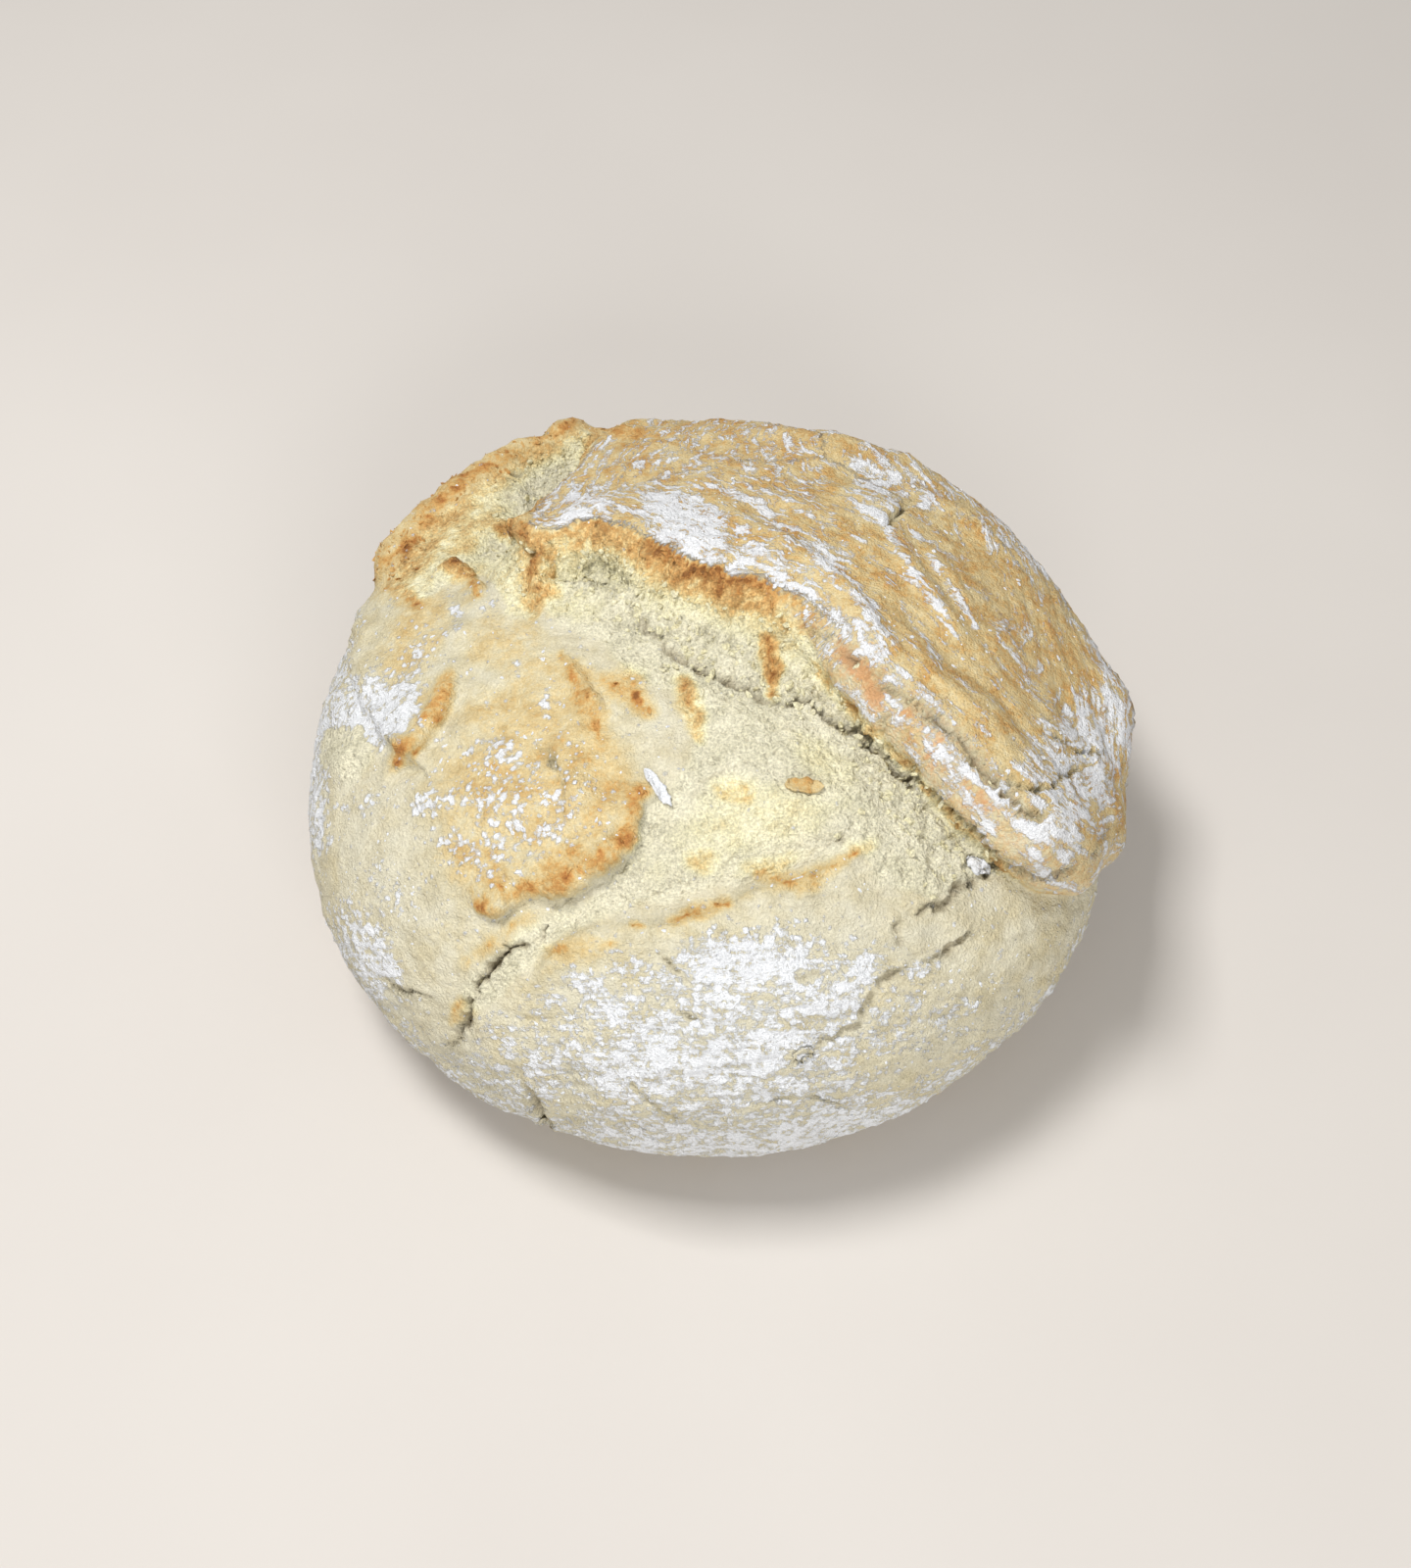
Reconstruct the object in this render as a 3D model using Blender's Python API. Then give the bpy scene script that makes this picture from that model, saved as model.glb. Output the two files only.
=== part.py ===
"""A hand-shaped sourdough loaf, about 20 cm across, whose crust tore open as it rose in the oven.

The loaf is one solid that stands on a flat base, +Z up, with its origin under the middle of its
footprint. Its dough starts as a rounded form. The crust then gets the lifted flap that hangs over the
torn crumb, the ragged rim behind it, and the smaller edges, cracks and creases. Sizes are in
millimetres until the mesh is written.
"""

import math

import bmesh
import bpy
import numpy as np
from mathutils import Vector, noise
from mathutils.bvhtree import BVHTree

MM = 0.001

# The risen dough: how far its plan reaches at every 30 degrees from +X, and its side profile
PLAN_REACH = (95, 97, 99, 97, 97, 99, 102, 104, 102, 99, 98, 98)
WAIST_HEIGHT = 37
CROWN_RISE = 57
BELLY_DROP = 58
PROFILE_FULLNESS = 2.3
BASE_SOFTNESS = 1.5

# The marks are drawn on a sheet that is seen square-on from in front of the loaf and above it, as
# a baker leans over the bench. A mark's place is its distance right of the sheet's middle and above it.
SHEET_MIDDLE = Vector((-4, 1, 29))
SIGHT_RISE = math.radians(57)
SIGHT_DISTANCE = 550
FRONT = 1
BACK = -1

# The mesh: cells along each side of the cage, how strongly they gather where the marks are (less is
# more strongly), and the triangles that are left at the end
CAGE_CELLS = 88
GATHER = 0.62
SOLID_TRIANGLES = 11400

# How a mark's line is followed: the step along it, how far its turns are smoothed, and the distance
# past which the surface follows the line as a whole
LINE_STEP = 1.0
TURN_SMOOTHING = 2.0
WHOLE_LINE_FROM = 12.0

# The crust's unevenness: the size of the noise and how far it moves the surface or, on a torn edge,
# the edge. It fades over this height above the base.
LUMPS = (30, 1.1)
PIMPLES = (8, 0.55)
TEETH = (5, 1.6)
NOISE_LAYERS = 3
FOOT_FADE = 12

# The finished loaf is moved by this, so that its footprint is centred on the origin
CENTRING = Vector((0.5, 0.9, 0))

# Cross-sections, for a mark 1 mm high. Each row is a distance across the mark, positive on its left,
# then how far the crust there shifts across, and its height.
TORN_FLAP = (
    (75, 0, 0.0), (50, 0, 0.22), (30, 0, 0.5), (14, 0, 0.8), (5, 0, 0.97), (0, -0.06, 1.0),
    (-1.2, -0.16, 0.84), (-3.5, -0.2, 0.52), (-8, -0.28, 0.2), (-13, -0.2, 0.0), (-19, -0.1, -0.06),
    (-30, 0, 0.0), (-40, 0, 0.0),
)
ROLLED_FLAP = (
    (75, 0, 0.0), (50, 0, 0.2), (30, 0, 0.46), (19, 0, 0.62), (15, 0, 0.64), (10, 0, 0.9),
    (6, -0.02, 1.02), (2.5, -0.1, 1.0), (0, -0.28, 0.9), (-1.6, -0.4, 0.7), (-3, -0.44, 0.45),
    (-4.4, -0.34, 0.2), (-6.5, -0.12, -0.04), (-9, 0.0, -0.14), (-13, 0.0, -0.08), (-24, 0, 0.0),
    (-40, 0, 0.0),
)
RIM = (
    (34, 0, 0.0), (22, 0, 0.16), (12, 0, 0.5), (5, 0, 0.9), (1, 0, 1.0), (-1, -0.06, 0.86),
    (-4, -0.04, 0.45), (-10, 0, 0.1), (-18, 0, 0.0), (-24, 0, 0.0),
)
LIP = (
    (16, 0, 0.0), (9, 0, 0.28), (4, 0, 0.8), (1.5, 0, 1.0), (0, -0.25, 0.95), (-0.8, -0.35, 0.6),
    (-1.6, -0.2, 0.1), (-3, 0, -0.22), (-6, 0, -0.08), (-10, 0, 0.0),
)
SOFT_LIP = (
    (26, 0, 0.0), (15, 0, 0.3), (7, 0, 0.8), (3, 0, 1.0), (0, 0, 0.82), (-3, 0, 0.2), (-6, 0, -0.2),
    (-12, 0, -0.1), (-20, 0, 0.0),
)
CRACK = (
    (7, 0, 0.0), (4, 0, 0.12), (2, 0, -0.05), (0.8, 0, -0.7), (0, 0, -1.0), (-0.8, 0, -0.7),
    (-2, 0, -0.05), (-4, 0, 0.12), (-7, 0, 0.0),
)
CREST = (
    (7, 0, 0.0), (4, 0, 0.12), (2, 0, 0.7), (0, 0, 1.0), (-2, 0, 0.7), (-4, 0, 0.12), (-7, 0, 0.0),
)
TROUGH = (
    (18, 0, 0.0), (11, 0, -0.25), (5, 0, -0.8), (0, 0, -1.0), (-5, 0, -0.8), (-11, 0, -0.25),
    (-18, 0, 0.0),
)

FLAP_THICKNESS = 12

# The flap's edge. It climbs the far side to the notch, crosses the loaf and goes round its right side.
# Each point: right, up, the flap's lift there, and how far its edge rolls under.
FLAP_EDGE_BEHIND = (
    (40, -86, 0, 0), (36, -74, 1, 0), (37, -66, 2, 0), (34, -58, 2.5, 0), (35, -52, 3, 0),
)
FLAP_EDGE = (
    (-26, 89, 3, 0), (-29, 82, 3, 0), (-35, 74, 3.5, 0), (-41, 66, 4.5, 0), (-42, 60, 6.5, 0),
    (-36, 58, 8.5, 0), (-27, 60, 10, 0), (-18, 57, 11, 0), (-5, 50, 12, 0), (7, 46, 12, 0),
    (19, 42, 12, 0.25), (30, 36, 12.5, 0.6), (39, 28, 13, 1), (48, 18, 13.5, 1), (58, 9, 13.5, 1),
    (69, -4, 13.5, 1), (79, -14, 13, 1), (89, -19, 11, 1), (97, -16, 7, 1), (102, -9, 4.5, 0.8),
)
FLAP_EDGE_AROUND = (
    (-93, -8, 3, 0.5), (-90, -26, 3, 0.2), (-82, -44, 2, 0), (-68, -60, 1, 0), (-54, -72, 0, 0),
)

# The far rim of the tear, that stands up along the back left. Each point: right, up, and height.
RIM_EDGE = (
    (-87, 50, 0), (-81, 56, 7), (-73, 66, 8), (-64, 74.5, 9), (-53, 81, 10), (-42, 87, 13),
    (-34, 91.5, 14), (-29, 93, 0),
)

# Broad forms on the bare dough: what it is, its cross-section, its width scale, and its points
BROAD_MARKS = (
    ("cleft between rim and flap", TROUGH, 0.9, (
        (-66, 46, 1), (-60, 56, 5), (-52, 68, 8), (-43, 77, 9), (-35, 84, 7), (-29, 89, 3))),
    ("notch where the cleft runs over the back", CRACK, 1.8, (
        (-37, 80, 1), (-31, 86, 4), (-27, 90, 7), (-25, 93, 8))),
    ("rim behind the cleft", RIM, 1.0, RIM_EDGE),
)

# Swellings: right, up, half length, half width, turn in degrees, and height
BROAD_SWELLS = (
    (18, 6, 42, 22, -38, 3.0),
    (-42, 2, 30, 26, 20, 3.0),
    (12, -52, 48, 26, 0, 2.0),
    (100, 17, 18, 14, 60, 6.0),
    (36, 84, 40, 14, -15, 3.0),
)

# Edges, cracks and creases on the risen crust
MARKS = (
    ("pocket under the flap's left end", CRACK, 1.5, (
        (-40, 52, 0), (-37, 54, 4), (-30, 54.5, 5), (-23, 52.5, 4), (-19, 49, 0))),
    ("fissure along the foot of the flap", CRACK, 1.2, (
        (-25, 45, 0), (-18, 42.5, 1.2), (-12, 37, 1.4), (-7, 33, 1.4), (1, 29, 2.4), (8, 26, 1.8),
        (15, 22, 1.4), (20, 20, 1.2), (27, 21, 2.6), (32, 16, 3), (38, 14, 2.6), (42, 10, 3.4),
        (51, 1.5, 3.4), (58, -2.5, 3), (64.5, -10, 3.2), (68, -15, 4), (73, -23, 3.4), (85, -25, 3),
        (92, -22, 2.4), (101, -14, 1), (105, -9, 0))),
    ("browned edge of the left crust", LIP, 1.0, (
        (-60, -32, 0), (-55, -31, 2.8), (-49.5, -29, 2.8), (-44, -27, 3.2), (-36, -26, 3.2),
        (-30, -23, 3.8), (-24.5, -19.5, 4.2), (-20, -15, 4.4), (-18.5, -10, 3.8), (-17, -5.5, 2.2),
        (-13, -2.5, 0.8), (-10, 0, 0))),
    ("thin step in the left crust", LIP, 0.7, (
        (-41, 12, 0), (-37, 7, 1.3), (-35, 0, 1.5), (-34.5, -7, 1.1), (-36, -12, 0))),
    ("pleat left of the fissure", LIP, 0.7, (
        (-27, 17, 0), (-28, 21, 1.6), (-32, 27, 2), (-36, 33, 0))),
    ("folded corner, right side", LIP, 0.8, (
        (-76, 6.5, 2.2), (-72, 11, 3.6), (-69, 16, 3.6), (-66, 21, 2.6), (-64.5, 27, 1),
        (-63.5, 30, 0))),
    ("folded corner, left side", LIP, 0.7, (
        (-85, 21, 0), (-84, 18, 1), (-82, 14, 1.8), (-79, 10.5, 2.2), (-75.5, 7, 2.4))),
    ("step down to the floured side", LIP, 1.0, (
        (-85, 54, 0), (-86.5, 48, 1.2), (-88, 40, 1.8), (-88, 30, 2.2), (-87, 24, 2), (-85, 19, 1))),
    ("torn groove in front", TROUGH, 0.45, (
        (-38, -33, 1), (-30, -33, 2), (-18, -31.5, 2), (-5, -29, 1.8), (6, -26, 1.8),
        (17.5, -22, 1.8), (27.5, -19, 1.4), (38, -15.5, 0))),
    ("edge of the front crust", LIP, 0.8, (
        (38, -16.5, 0), (32, -21, 1.6), (25.5, -24, 2.2), (17.5, -25.5, 2.2), (10, -29, 1.2),
        (4, -32.5, 1.8), (-5, -35.5, 1.8), (-15, -36, 1.4), (-25, -37.5, 1.6), (-34, -40.5, 1.8),
        (-40, -46, 1.6), (-44, -50, 0))),
    ("crack down the left front", CRACK, 1.3, (
        (-36, -30.5, 1), (-40, -34.5, 2.4), (-42, -39, 2), (-50, -42.5, 2.6), (-54.5, -47, 3),
        (-59, -53.5, 2), (-60.5, -58, 1.4), (-61, -61.5, 2.4), (-64, -66, 1.4), (-67, -69, 0))),
    ("crack down the right front", CRACK, 1.1, (
        (72.5, -22.5, 2), (66, -26, 2), (62, -30.5, 2.4), (58, -32, 1.8), (52.5, -32.5, 1.4),
        (50, -36, 1.4), (50, -40.5, 1.4), (53, -44, 1.6), (49, -48, 1.6), (44, -52.5, 1.6),
        (42, -57.5, 1), (39.5, -61, 1.2), (32.5, -65.5, 0.8), (25, -69, 1), (20, -74, 0))),
    ("notch in the front foot", CRACK, 1.6, (
        (-47, -75, 0), (-44, -80.5, 2.4), (-42, -85, 4.5), (-41, -89, 4.5))),
    ("curl at the flap's left end", CREST, 0.6, (
        (-40.5, 60.5, 2), (-42, 56, 3.6), (-42, 50, 3.4), (-41, 45.5, 0))),
    ("tongue of crust beside the cleft", LIP, 0.7, (
        (-57, 64, 0), (-52.5, 63.5, 2), (-47.5, 63.5, 2.6), (-43, 61, 2.4), (-40, 59.5, 0))),
    ("spikes of crust at the left", LIP, 0.6, (
        (-56, 45, 0), (-57.5, 49.5, 2.2), (-60.5, 52.5, 1.6), (-64, 56, 2), (-66, 58, 0))),
    ("crease along the flap", SOFT_LIP, 0.7, (
        (49, 30, 0), (45.5, 38, 1.8), (41, 44, 2.4), (35, 51, 2.8), (28, 56.5, 2.8), (21, 61, 2.4),
        (14, 65, 2), (6.5, 69.5, 1.4), (-1, 73, 0))),
    ("groove behind the rolled edge", CRACK, 1.4, (
        (22, 43.5, 0), (28, 39, 1.2), (38, 33, 2), (48.5, 23, 2.4), (60, 16, 2.6), (71.5, 4, 2.6),
        (80, -5, 2), (86, -7, 1.4), (92, -3, 0))),
    ("cross crack in the rolled edge", CRACK, 0.9, (
        (50, 24, 0), (47.5, 20, 1.6), (46, 16.5, 1.6), (44, 12, 0))),
    ("wrinkle at the flap's end", CRACK, 0.9, (
        (74, 6, 0), (79, 1, 1.4), (86, -1, 1.6), (94, 3, 1), (98, 6, 0))),
    ("second wrinkle at the flap's end", CRACK, 0.9, (
        (86, 14, 0), (92, 10, 1.4), (98, 8, 1.6), (103, 9, 0))),
    ("crevice in the flap", CRACK, 1.2, (
        (45, 64, 0), (49, 69, 2.2), (52, 72, 1.4), (55, 75, 0))),
    ("long ridge on the flap", CREST, 1.0, (
        (48, 63, 0.6), (53, 54, 2), (58.5, 46.5, 2.2), (64.5, 39, 1.4), (69, 32, 0))),
    ("second ridge on the flap", CREST, 0.7, (
        (54, 64, 0), (60, 55, 1.3), (65.5, 47, 1.3), (69, 40, 0))),
    ("floured shoulder of the flap", SOFT_LIP, 0.5, (
        (86, 46, 0), (79, 55, 1), (71.5, 63, 1.6), (66, 68, 1.8), (60, 72, 1.8), (50, 78, 0))),
)

# The same on the far side, where right and up are as seen from there
FAR_MARKS = (
    ("tear that runs down behind the cleft", CRACK, 1.1, (
        (35, -50, 3), (34, -57, 2.6), (37, -65, 2.2), (36, -74, 1.4), (40, -84, 0))),
    ("wrinkle behind", SOFT_LIP, 0.7, (
        (-62, -42, 0), (-48, -36, 1.4), (-32, -34, 1.8), (-16, -38, 1.4), (-4, -46, 0))),
    ("crack behind", CRACK, 1.1, (
        (-30, -50, 0), (-22, -58, 1.6), (-24, -66, 1.6), (-14, -76, 1.2), (-16, -86, 0))),
    ("crack at the far left", CRACK, 1.0, (
        (62, -28, 0), (68, -38, 1.4), (64, -48, 1.6), (72, -58, 1), (68, -66, 0))),
)

SWELLS = (
    (-35, 90, 11, 4, 35, 4.5),
    (-18, 90, 9, 5, -10, 2.0),
    (44, 71, 10, 8, -30, 2.4),
    (86, -12, 10, 8, -30, 3.0),
    (76, -4, 6, 5, -40, 1.6),
    (59, 10, 9, 4, -45, 1.2),
    (100, 6, 8, 10, 0, 1.5),
    (-92, 6, 6, 5, 0, 3.0),
    (-76, 16, 6, 9, 0, 1.6),
    (-50, -8, 22, 14, 20, 1.6),
    (30, -3, 18, 5, 15, 1.2),
    (20, -9, 12, 6, 15, 1.2),
)

# Two flakes of dried flour paste that stuck to the crumb
FLAKES = (
    (-12.5, -1, 5.2, 1.5, -58, 1.6),
    (70, -20, 3.0, 1.6, -35, 1.6),
)

CREAM_CRUST = (0.74, 0.60, 0.36, 1.0)
CRUST_ROUGHNESS = 0.85


def between(values, place):
    """A smooth periodic reading of a ring of values at places counted in values."""
    ring = np.asarray(values, float)
    at = np.floor(place).astype(int)
    f = place - at
    a, b, c, d = (ring[(at + k) % len(ring)] for k in (-1, 0, 1, 2))
    return 0.5 * (2 * b + (c - a) * f + (2 * a - 5 * b + 4 * c - d) * f**2 + (3 * b - a - 3 * c + d) * f**3)


def smooth_curve(points, step):
    """Points along a smooth curve through these ones, about step apart in their first columns."""
    rows = np.asarray(points, float)
    rows = np.vstack([2 * rows[0] - rows[1], rows, 2 * rows[-1] - rows[-2]])
    found = []
    for a, b, c, d in zip(rows, rows[1:], rows[2:], rows[3:]):
        count = max(2, int(np.linalg.norm((c - b)[:3]) / step) + 1)
        f = (np.arange(count) / count)[:, None]
        found.append(0.5 * (2 * b + (c - a) * f + (2 * a - 5 * b + 4 * c - d) * f**2
                            + (3 * b - a - 3 * c + d) * f**3))
    return np.vstack([*found, rows[-2:-1]])


def uneven(points, size):
    """Noise between about -1 and 1 at these points, with lumps of about this size."""
    return np.array([noise.fractal(Vector(p / size), 0.85, 2.2, NOISE_LAYERS) for p in points])


def teeth(points):
    """Small steps aside that make a line's edge uneven, as torn crust is."""
    return uneven(points, TEETH[0]) * TEETH[1]


def section_table(section, finest=0.1):
    """A cross-section as three rows that rise across it: the place across, the shift and the height."""
    curve = smooth_curve(section, finest)
    return curve[np.argsort(curve[:, 0])].T


def unit(vectors):
    return vectors / np.maximum(np.linalg.norm(vectors, axis=-1, keepdims=True), 1e-9)


def gathered(directions):
    """Directions drawn towards the side that the marks are on, which gives it more cells."""
    pole = np.array((0, -math.cos(SIGHT_RISE), math.sin(SIGHT_RISE)))
    along = np.clip(directions @ pole, -1 + 1e-9, 1)
    aside = unit(directions - along[:, None] * pole)
    half = GATHER * np.sqrt((1 - along) / (1 + along))
    return pole * ((1 - half**2) / (1 + half**2))[:, None] + aside * (2 * half / (1 + half**2))[:, None]


def risen_dough(directions):
    """Where the bare dough's surface lies in each direction from its core."""
    x, y, z = directions.T
    reach = between(PLAN_REACH, np.arctan2(y, x) / math.radians(30))
    level = np.hypot(x, y)
    full = (level**PROFILE_FULLNESS + np.abs(z)**PROFILE_FULLNESS) ** (-1 / PROFILE_FULLNESS)
    height = WAIST_HEIGHT + np.where(z > 0, CROWN_RISE, BELLY_DROP) * full * z
    return np.stack([reach * full * x, reach * full * y, height], axis=1)


def flat_base(points):
    """Sets what is under the bench on it, with a little softness at the foot's edge."""
    z = points[:, 2]
    points[:, 2] = np.where(z < 0, 0, np.where(z < BASE_SOFTNESS, z * z / BASE_SOFTNESS, z))
    return points


class Loaf:
    """The mesh while it is shaped, with its points in millimetres, their normals and a way to lay marks."""

    def __init__(self, name, cells):
        bpy.ops.mesh.primitive_cube_add(size=2)
        self.object = bpy.context.object
        self.object.name = self.object.data.name = name
        self.mesh = self.object.data
        cage = bmesh.new()
        cage.from_mesh(self.mesh)
        bmesh.ops.subdivide_edges(cage, edges=cage.edges[:], cuts=cells - 1, use_grid_fill=True)
        cage.to_mesh(self.mesh)
        cage.free()
        places = np.empty(len(self.mesh.vertices) * 3)
        self.mesh.vertices.foreach_get("co", places)
        even = np.tan(places.reshape(-1, 3) * math.pi / 4)
        self.points = risen_dough(gathered(unit(even)))
        self.settle()

    def settle(self):
        """Writes the points to the mesh and reads its normals."""
        self.mesh.vertices.foreach_set("co", (self.points * MM).ravel())
        self.mesh.update()
        normals = np.empty(len(self.points) * 3, np.float32)
        self.mesh.vertex_normals.foreach_get("vector", normals)
        self.normals = normals.reshape(-1, 3).astype(float)
        faces = np.empty(len(self.mesh.polygons) * 4, np.int32)
        self.mesh.polygons.foreach_get("vertices", faces)
        self.tree = BVHTree.FromPolygons(self.points.tolist(), faces.reshape(-1, 4).tolist())

    def laid(self, right, up, facing):
        """The point of the surface that is seen at this place of the sheet. The sheet of the far side
        is the same one turned half round the loaf. A place past the outline takes the nearest edge."""
        sight = Vector((0, facing * math.cos(SIGHT_RISE), -math.sin(SIGHT_RISE)))
        sheet_up = Vector((0, facing * math.sin(SIGHT_RISE), math.cos(SIGHT_RISE)))
        middle = Vector((facing * SHEET_MIDDLE.x, facing * SHEET_MIDDLE.y, SHEET_MIDDLE.z))
        eye = middle - sight * SIGHT_DISTANCE
        way = (middle + Vector((facing * right, 0, 0)) + sheet_up * up - eye).normalized()
        hit = self.tree.ray_cast(eye, way)[0]
        if hit is None:
            stops = (SIGHT_DISTANCE + step for step in range(-120, 121, 4))
            near = (self.tree.find_nearest(eye + way * stop) for stop in stops)
            hit = min(near, key=lambda found: found[3])[0]
        return hit

    def line(self, *stretches):
        """A mark's points laid on the surface, as a dense line, with their other columns. A stretch is
        the sheet that its points are on, and the points."""
        rows = [(*self.laid(p[0], p[1], facing), *p[2:]) for facing, points in stretches for p in points]
        return smooth_curve(rows, LINE_STEP)

    def across(self, line, reach):
        """For the points within reach of a line: which they are, their distance across it with its left
        side positive, the line's own columns beside them, and the way to its left."""
        spots, values = line[:, :3], line[:, 3:]
        near = np.all((self.points > spots.min(0) - reach) & (self.points < spots.max(0) + reach), axis=1)
        index = np.nonzero(near)[0]
        here, normal = self.points[index], self.normals[index]
        squares = (here**2).sum(1)[:, None] + (spots**2).sum(1)[None, :] - 2 * here @ spots.T
        squares = np.maximum(squares, 1e-6)
        nearest = squares.argmin(1)
        heading = unit(np.gradient(spots, axis=0))
        tangent = heading[nearest]
        offset = here - spots[nearest]
        run = np.clip((offset * tangent).sum(1), -LINE_STEP, LINE_STEP)
        offset -= run[:, None] * tangent
        distance = np.linalg.norm(offset, axis=1)
        side = np.sign((offset * np.cross(normal, tangent)).sum(1))
        weight = (squares + TURN_SMOOTHING**2) ** -3
        share = weight.sum(1)[:, None]
        left = unit(np.cross(normal, weight @ heading / share))
        # Farther off, a distance averaged along the line takes over, because the exact one would crease
        # the surface where two stretches of a bent line are equally near. The average of a straight
        # line's inverse sixth powers is 3 pi / 8 of the distance's inverse fifth power.
        average = (LINE_STEP * (squares**-3).sum(1) * 8 / (3 * math.pi)) ** -0.2
        blend = np.clip(distance / WHOLE_LINE_FROM - 0.5, 0, 1)
        distance += (np.maximum(average, 0.8 * distance) - distance) * blend
        return index, side * distance, weight @ values / share, left

    def press(self, section, wide, points, facing=FRONT):
        """Shifts the surface to a mark's cross-section along its line."""
        table = section_table(section)
        reach = wide * max(-table[0][0], table[0][-1])
        index, place, value, left = self.across(self.line((facing, points)), reach)
        place = place + teeth(self.points[index]) * min(1, wide) * 0.6
        size = value[:, 0]
        shift = np.interp(place / wide, table[0], table[1]) * size
        height = np.interp(place / wide, table[0], table[2]) * size
        self.points[index] += self.normals[index] * height[:, None] + left * shift[:, None]

    def lift_flap(self, *stretches):
        """Lifts one side of a tear. The last column of its points says how far the edge rolls under."""
        torn, rolled = section_table(TORN_FLAP), section_table(ROLLED_FLAP)
        index, place, value, left = self.across(self.line(*stretches), torn[0][-1])
        size, roll = value[:, 0], np.clip(value[:, 1], 0, 1)
        place = place + teeth(self.points[index]) * (1 - 0.7 * roll)
        shift, height = (
            (np.interp(place, torn[0], torn[k]) * (1 - roll)
             + np.interp(place, rolled[0], rolled[k]) * roll) * size
            for k in (1, 2)
        )
        self.points[index] += self.normals[index] * height[:, None] + left * shift[:, None]

    def swell(self, right, up, half_length, half_width, turn, height):
        """Raises an oval swelling, its length turned this many degrees from the way to the right. It
        reaches through the dough no farther than it is long, or than the flap is thick."""
        middle = np.array(self.laid(right, up, FRONT))
        normal = self.normals[np.argmin(((self.points - middle) ** 2).sum(1))]
        level = unit(np.array((1.0, 0, 0)) - normal[0] * normal)
        other = np.cross(normal, level)
        angle = math.radians(turn)
        along = level * math.cos(angle) + other * math.sin(angle)
        aside = np.cross(normal, along)
        from_middle = self.points - middle
        far = (from_middle @ along / half_length) ** 2 + (from_middle @ aside / half_width) ** 2
        far += (from_middle @ normal / max(half_length, FLAP_THICKNESS)) ** 2
        self.points += self.normals * (height * np.exp(-1.2 * far))[:, None]

    def roughen(self, size, height):
        """Moves the points out and in by noise of this size and height, less so near the base."""
        clear = np.clip(self.points[:, 2] / FOOT_FADE, 0, 1)
        self.points += self.normals * (height * uneven(self.points, size) * clear)[:, None]


def crust_material():
    material = bpy.data.materials.new("cream_crust")
    material.use_nodes = True
    shader = material.node_tree.nodes["Principled BSDF"]
    shader.inputs["Base Color"].default_value = CREAM_CRUST
    shader.inputs["Roughness"].default_value = CRUST_ROUGHNESS
    return material


def shape_loaf():
    loaf = Loaf("sourdough_loaf", CAGE_CELLS)
    for swelling in BROAD_SWELLS:
        loaf.swell(*swelling)
    loaf.settle()
    for _, section, wide, points in BROAD_MARKS:
        loaf.press(section, wide, points)
    loaf.settle()
    loaf.lift_flap((BACK, FLAP_EDGE_BEHIND), (FRONT, FLAP_EDGE), (BACK, FLAP_EDGE_AROUND))
    loaf.settle()
    for swelling in SWELLS:
        loaf.swell(*swelling)
    loaf.settle()
    for _, section, wide, points in MARKS:
        loaf.press(section, wide, points)
    for _, section, wide, points in FAR_MARKS:
        loaf.press(section, wide, points, BACK)
    loaf.settle()
    loaf.roughen(*LUMPS)
    loaf.roughen(*PIMPLES)
    loaf.settle()
    for flake in FLAKES:
        loaf.swell(*flake)
    loaf.points = flat_base(loaf.points)
    loaf.settle()
    return loaf


def finish_loaf(loaf, collection):
    """Thins the mesh to its final faces, shades it and puts it in its collection."""
    solid = loaf.object
    for user in list(solid.users_collection):
        user.objects.unlink(solid)
    collection.objects.link(solid)
    solid.location = CENTRING * MM
    thin = solid.modifiers.new("thin", "DECIMATE")
    thin.ratio = SOLID_TRIANGLES / (2 * len(solid.data.polygons))
    solid.data.materials.append(crust_material())
    solid.data.shade_smooth()


for old in list(bpy.data.objects):
    bpy.data.objects.remove(old)
bread = bpy.data.collections.new("sourdough_loaf")
bpy.context.scene.collection.children.link(bread)
finish_loaf(shape_loaf(), bread)
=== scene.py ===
"""A hand-shaped sourdough loaf, about 20 cm across, whose crust tore open as it rose in the oven.

Its looks: the torn flap over pale crumb, the browned edges, and the flour it was shaped and proved in.
Sizes are in millimetres until a mesh is written.
"""

import math

import bmesh
import bpy
import numpy as np
from mathutils import Matrix, Vector, noise
from mathutils.bvhtree import BVHTree
from mathutils.kdtree import KDTree


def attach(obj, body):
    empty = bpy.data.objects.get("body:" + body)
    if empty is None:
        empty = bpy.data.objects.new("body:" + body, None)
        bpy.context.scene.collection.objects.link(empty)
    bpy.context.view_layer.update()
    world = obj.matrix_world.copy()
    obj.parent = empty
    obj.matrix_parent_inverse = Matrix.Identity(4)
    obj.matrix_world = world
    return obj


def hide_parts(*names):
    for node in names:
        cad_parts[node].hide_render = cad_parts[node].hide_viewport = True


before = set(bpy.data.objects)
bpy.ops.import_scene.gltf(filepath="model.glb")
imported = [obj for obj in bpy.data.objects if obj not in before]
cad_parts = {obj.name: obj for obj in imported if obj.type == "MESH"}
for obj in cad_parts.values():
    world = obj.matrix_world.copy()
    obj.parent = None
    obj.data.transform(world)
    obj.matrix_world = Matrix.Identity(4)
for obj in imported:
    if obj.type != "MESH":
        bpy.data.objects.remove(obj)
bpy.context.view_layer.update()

MM = 0.001


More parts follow.
